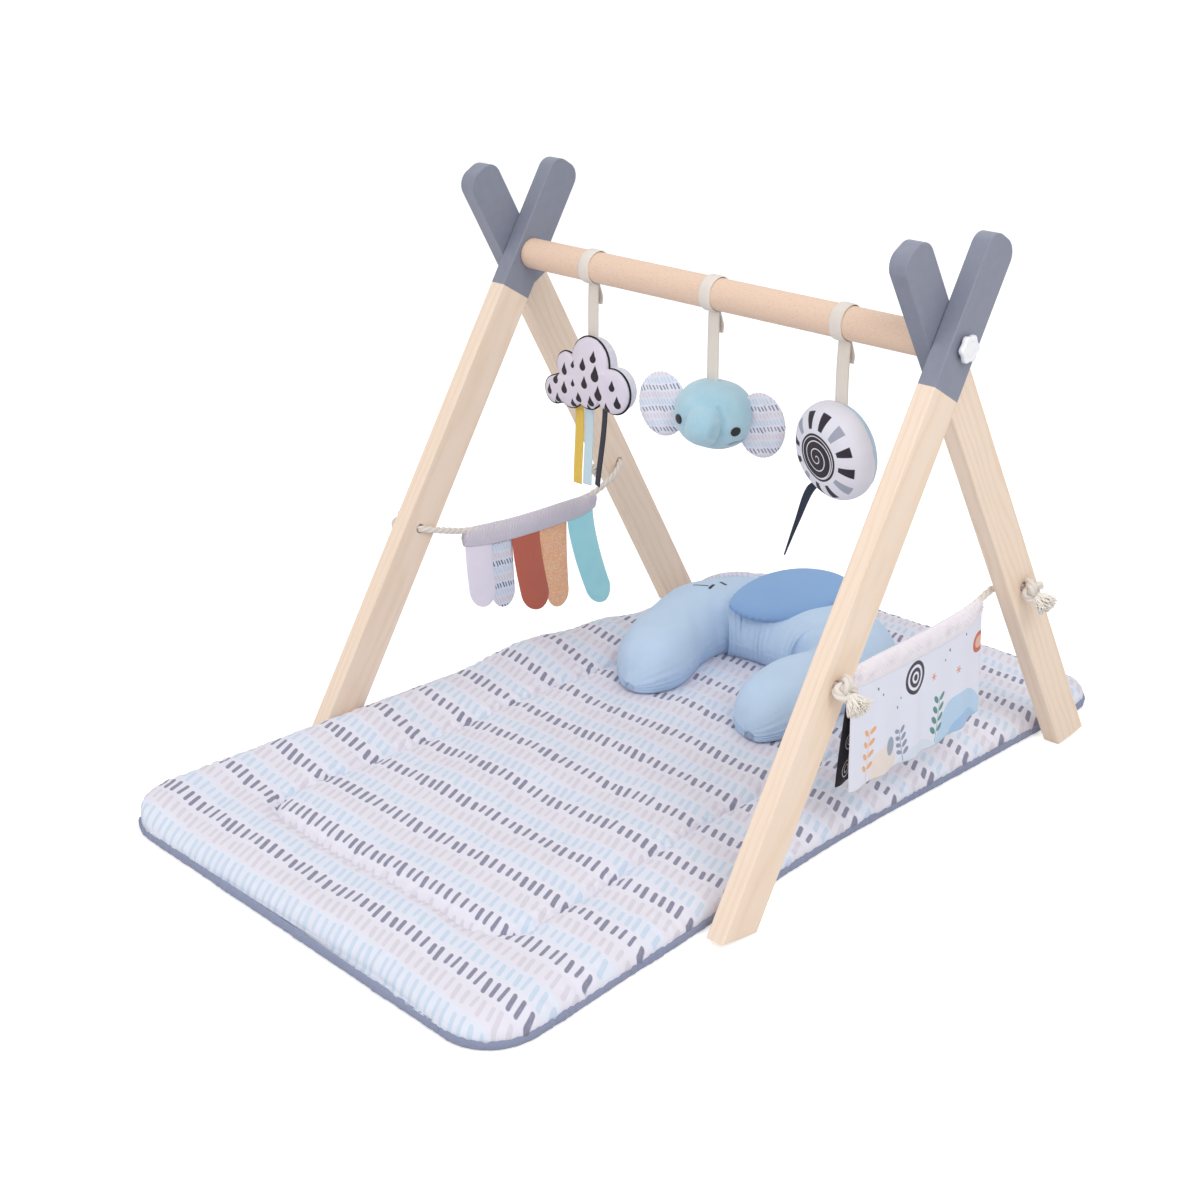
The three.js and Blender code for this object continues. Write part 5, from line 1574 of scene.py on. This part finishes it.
cloud_paint = drop_print()
black = cotton_paint("black_cord", "1C1820", "26212B", 0.6, 0.05, 0.0)
cloud = finish_piece(cloud_body(), cloud_paint, ["cloud_body"], "cloud_toy")
finish_piece(piping(), black, [], "cloud_toy")


def ribbon_paint(name, code, second):
    """Grosgrain ribbon: fine ribs straight across it."""
    paint = Paint(name, code, 0.75, sheen_weight=0.02)
    u, v, _ = paint.cloth()
    ribs = (u * (2 * math.pi / 0.9)).sine()
    paint.coloured(paint.mixed(paint.noise(u * 0.05, v * 0.2), code, second))
    paint.raised(ribs * 0.06)
    return paint


ribbons = (
    ("yellow", -0.184, 90, 0, 0, "E9C75C", "E2BE52", "yellow_ribbon"),
    ("blue", -0.072, 88, 0, 0, "CFE4EC", "C4DCE6", "pale_blue_ribbon"),
    ("navy", 0.118, 86, -0.1, -22, "17182A", "1E2033", "navy_ribbon"),
)
for colour_name, share, reach, lean_share, twist, code, second, slot in ribbons:
    x = -167 + share * 137
    top, bottom = cloud_middle - 137 * 0.19, cloud_middle - 137 * 0.3 - reach
    down = np.linspace(0, 1, 8)
    points = np.stack(
        [x + lean_share * (top - bottom) * down, 1.2 * np.sin(np.pi * down * 1.5), top + (bottom - top) * down], 1
    )
    strip = tape_strip("cloud_ribbon_strip_" + colour_name, points, 13, 0.8, 80, twist)
    dye = ribbon_paint(colour_name + "_ribbon", code, second)
    finish_piece(strip, dye, ["cloud_ribbon_" + colour_name], "cloud_toy")
    (top - bottom) * 1.01 * mm
print("cloud and three ribbons")

# %% [markdown]
# The elephant is a round velour head, turned to its right, with a stuffed trunk that hangs forward, two flat
# printed ears sewn into the side seams and eyes embroidered in black satin stitch.

# %% Elephant
head_pose = shift(8, 0, 370.25) @ turn_about("Z", 27) @ turn_about("Y", 7)


def face_paint(name):
    """Pale blue velour with a soft line of painted shade at the trunk's right root, where the trunk meets the
    face, and a short grey mouth stitched low on the right cheek."""
    paint = velour_paint(name, "8FBACD", "B2D5E3")
    x, y, z = paint.place()
    # Painted shade: a soft darker line down the trunk's right root, where the trunk meets the face, on the front
    # only.
    upper_shade_line = stroke_distance(x, z, (33, 387), (40, 374), 1.0)
    lower_shade_line = stroke_distance(x, z, (40, 374), (38, 358), 1.0)
    fold = upper_shade_line.least(lower_shade_line)
    shade = paint.inside(fold, 2.8) * 0.55 * paint.inside(y + 4.0, 1.0)
    mouth = stroke_distance(x, z, (38.2, 345.2), (43.4, 348.4), 1.8).most(y - 8.0)
    pile = paint.shader.inputs["Base Color"].links[0].from_socket
    shaded = paint.mixed(shade, pile, "6E97A9")
    return paint.coloured(paint.mixed(paint.inside(mouth, 0.6), shaded, "6F8390"))


def soft_ball(name, wide, deep, tall, matrix, power=2.25, rows=90, sides=140):
    """A ball between round and square: each way is sign(c) |c|^(2 / power)."""
    bow = lambda c: np.sign(c) * np.abs(c) ** (2 / power)
    rise = np.linspace(-np.pi / 2, np.pi / 2, rows + 2)[1:-1]
    turn = around(sides)
    ring = bow(np.cos(rise))[:, None]
    points = np.stack(
        [
            wide / 2 * ring * bow(np.cos(turn))[None],
            deep / 2 * ring * bow(np.sin(turn))[None],
            np.broadcast_to(tall / 2 * bow(np.sin(rise))[:, None], (rows, sides)),
        ],
        -1,
    )
    points = points * (1 + 0.006 * waves(points[..., 0] + points[..., 1], points[..., 2], 30, 71))[..., None]
    marks = np.concatenate([points, points[:, :1]], 1)
    return ringed(name, moved(points, matrix), marks)


def trunk():
    """Rings along the trunk's bent middle: it starts inside the face, swings forward and down, and ends round."""
    along = 1 - (1 - np.linspace(0, 1, 70)) ** 2
    bend = along * math.radians(60)
    run = 37 * along
    full = 19 * (1 - 0.1 * along)
    into = np.clip((0.9 * full - 37 + run) / (0.9 * full), 0, 1)
    r = full * np.sqrt(np.maximum(1 - into**2, 0.0004))
    middle = np.stack([np.full(70, -2.5), -22.2 - run * np.cos(bend), -run * np.sin(bend) * 0.74], 1)
    turn = around(80)
    ring_r = r[:, None] * (1 + 0.012 * np.sin(2 * np.pi * run / 8)[:, None] * (np.sin(turn)[None] < 0))
    low = ring_r * np.sin(turn)
    off = [ring_r * np.cos(turn), -low * np.sin(bend)[:, None], low * np.cos(bend)[:, None]]
    return ringed("elephant_stuffed_trunk", moved(middle[:, None] + np.stack(off, -1), head_pose))


def toy_ear(name, side):
    """A flat stuffed oval with a puckered seam, sewn to the head's side."""
    turn, rise = around(160), np.linspace(-np.pi / 2, np.pi / 2, 41)[1:-1]
    outline = np.stack([26 * np.cos(turn), 35 * np.sin(turn)], 1)
    size = np.cos(rise) ** 0.6
    pucker = 1 + 0.012 * np.sin(40 * turn)[None] * np.exp(-np.abs(rise) * 5)[:, None]
    flat = outline[None] * (size[:, None] * pucker)[..., None]
    y = 4.6 * np.sin(rise)[:, None] * (1 + 0.15 * waves(flat[..., 0], flat[..., 1], 26, 80 + side))
    rings = np.stack([flat[..., 0], y, flat[..., 1]], -1)
    local = shift(53.3 * side - 2.7, 0, -1.5) @ turn_about("Y", -15)
    marks = np.concatenate([flat, flat[:, :1]], 1)
    return ringed(name, moved(rings, head_pose @ local), marks)


def eye(name, side):
    """A satin-stitched oval that lies on the face."""
    x, z = side * 30.8, -5.4
    y = -37 * (1 - abs(x / 41.5) ** 2.25 - abs(z / 35.75) ** 2.25) ** (1 / 2.25)
    face = Vector((x / 41.5**2, y / 37**2, z / 35.75**2)).normalized()
    spin = np.array(Vector((0, -1, 0)).rotation_difference(face).to_matrix().to_4x4())
    turn, rise = around(48), np.linspace(-np.pi / 2, np.pi / 2, 15)[1:-1]
    size = np.cos(rise)[:, None]
    dome = np.broadcast_to(1.7 * np.sin(rise)[:, None], (13, 48))
    points = np.stack([5.7 * size * np.cos(turn), dome, 5.3 * size * np.sin(turn)], -1)
    return ringed(name, moved(points, head_pose @ shift(x, y - 0.3, z) @ spin))


head = soft_ball("elephant_stuffed_head", 83, 74, 71.5, head_pose)
finish_piece(head, face_paint("face_velour"), ["elephant_head"], "elephant_toy")
nose = finish_piece(trunk(), face_paint("trunk_velour"), ["elephant_trunk"], "elephant_toy")
ear_print = print_paint("ear_print_cotton", 0.35, "E4E6F3", 4.0, 0.6, "8A8B9E")
thread = Paint("black_thread", "17141B", 0.4)
tx, ty, tz = thread.place()
thread.rough(0.32 + thread.noise(tx * 2.0, ty * 2.0, tz * 0.3) * 0.3)
thread.raised((tz * 9.0 + tx * 2.0).sine() * 0.12)
for side, word in ((-1, "left"), (1, "right")):
    made = toy_ear("elephant_printed_ear_" + word, side)
    finish_piece(made, ear_print, ["elephant_ear_" + word], "elephant_toy")
    one_eye = eye("elephant_stitched_eye_" + word, side)
    finish_piece(one_eye, thread, ["elephant_eye_" + word], "elephant_toy")
print("elephant")

# %% [markdown]
# The sun is two round panels stuffed to a fat lens. The front is white with a dark spiral disc and rays, the
# back is pale blue, and a tapering navy tail is sewn in at the bottom.

# %% Sun
sun_pose = shift(169, 0, 367) @ turn_about("Z", -12) @ turn_about("X", 9)


def sun_print():
    """A disc with a white line whose radius grows by a turn's pitch, and twelve rays, every third one grey."""
    paint = Paint("sun_cotton", "E8E7F2", 0.93, sheen_weight=0.08)
    x, z, y = paint.cloth()
    r = (x * x + z * z).root()
    angle = paint.math("ARCTAN2", z, x)
    turns_out = r * (1 / 7.9) + angle * (1 / (2 * math.pi))
    off = abs(turns_out - turns_out.floor() - 0.5) * 7.9
    line = paint.inside(off - 0.55, 0.2) * paint.inside(r - 22.3, 0.2)
    rim = paint.inside(abs(r - 22.2) - 0.45, 0.2)
    disc = paint.inside(r - 25.0, 0.25)
    cell = ((angle + 0.46) * (12 / (2 * math.pi))).floor()
    local = angle + 0.46 - (cell + 0.5) * (2 * math.pi / 12)
    luck = paint.chance(cell, 2.0)
    lateral = abs(local.sine() * r) - (2.2 + (r - 29.0) * 0.2 + luck * 0.6)
    radial = abs(r - 36.6 - luck * 1.2) - (7.4 + luck * 1.2)
    ray = paint.inside(lateral.most(radial), 0.25)
    third = cell - (cell * (1 / 3)).floor() * 3.0
    ray_colour = paint.mixed(third.over(1.5), "2A2230", "A3A7B8")
    white = paint.mixed(paint.noise(x * 0.04, z * 0.04), "EBEAF4", "E0DFEC")
    face = paint.mixed(ray, white, ray_colour)
    face = paint.mixed(disc, face, paint.mixed(line.most(rim), "2A2230", "E9E5ED"))
    back = paint.mixed(paint.noise(x * 0.05, z * 0.05), "C4DCEE", "B6D1E6")
    paint.coloured(paint.mixed(paint.inside(y * -1.0 + 8.0, 0.3), face, back))
    paint.raised(weave(paint, x, z + y))
    return paint


def sun_body():
    """Rings of a lens: radius 51 cos^0.62, depth 25 sin, drawn in and puckered at the rim's seam."""
    turn, rise = around(220), np.linspace(-np.pi / 2, np.pi / 2, 111)[1:-1]
    size = 51 * np.cos(rise) ** 0.62
    close = np.exp(-np.abs(rise - 0.325) * 6)
    pucker = 0.55 * waves(turn * 51, turn * 0, 13, 91)[None] * close[:, None]
    seam = -0.9 * np.exp(-(((rise - 0.325) / 0.03) ** 2))[:, None]
    r = size[:, None] + pucker + seam
    x, z = r * np.cos(turn), r * np.sin(turn)
    y = np.broadcast_to(25 * np.sin(rise)[:, None], x.shape) * (1 + 0.02 * waves(x, z, 45, 92))
    marks = np.stack([x, z, y], -1)
    marks = np.concatenate([marks, marks[:, :1]], 1)
    return ringed("sun_stuffed_body", moved(np.stack([x, y, z], -1), sun_pose), marks)


def sun_tail():
    """A ribbon folded to a point: its half width falls from 6.5 to nothing along the way to the tip."""
    places = [(-0.25, 0.1, -0.4), (-0.272, -0.02, -0.448), (-0.398, -0.059, -0.815), (-0.51, -0.098, -1.192)]
    points = np.array(places) * 102
    path, along = evenly(smooth_path(points + [169, 0, 367]), 80)
    half = 5.6 * (1 - 0.95 * along / along[-1])
    w = np.linspace(-1, 1, 7)[None] * half[:, None]
    middle = path[:, None] + w[..., None] * [0.96, 0.28, 0]
    middle[..., 1] += 0.8 * (1 - (w / np.maximum(half[:, None], 0.1)) ** 2)
    marks = np.stack([np.broadcast_to(along[:, None], w.shape), w], -1)
    return layered("sun_folded_tail", middle, np.full(w.shape, 1.2), marks)


sun = finish_piece(sun_body(), sun_print(), ["sun_body"], "sun_toy")
hung_tail = sun_tail()
finish_piece(hung_tail, ribbon_paint("navy_tail", "1A2438", "222D43"), ["sun_tail"], "sun_toy")
print("sun and tail")
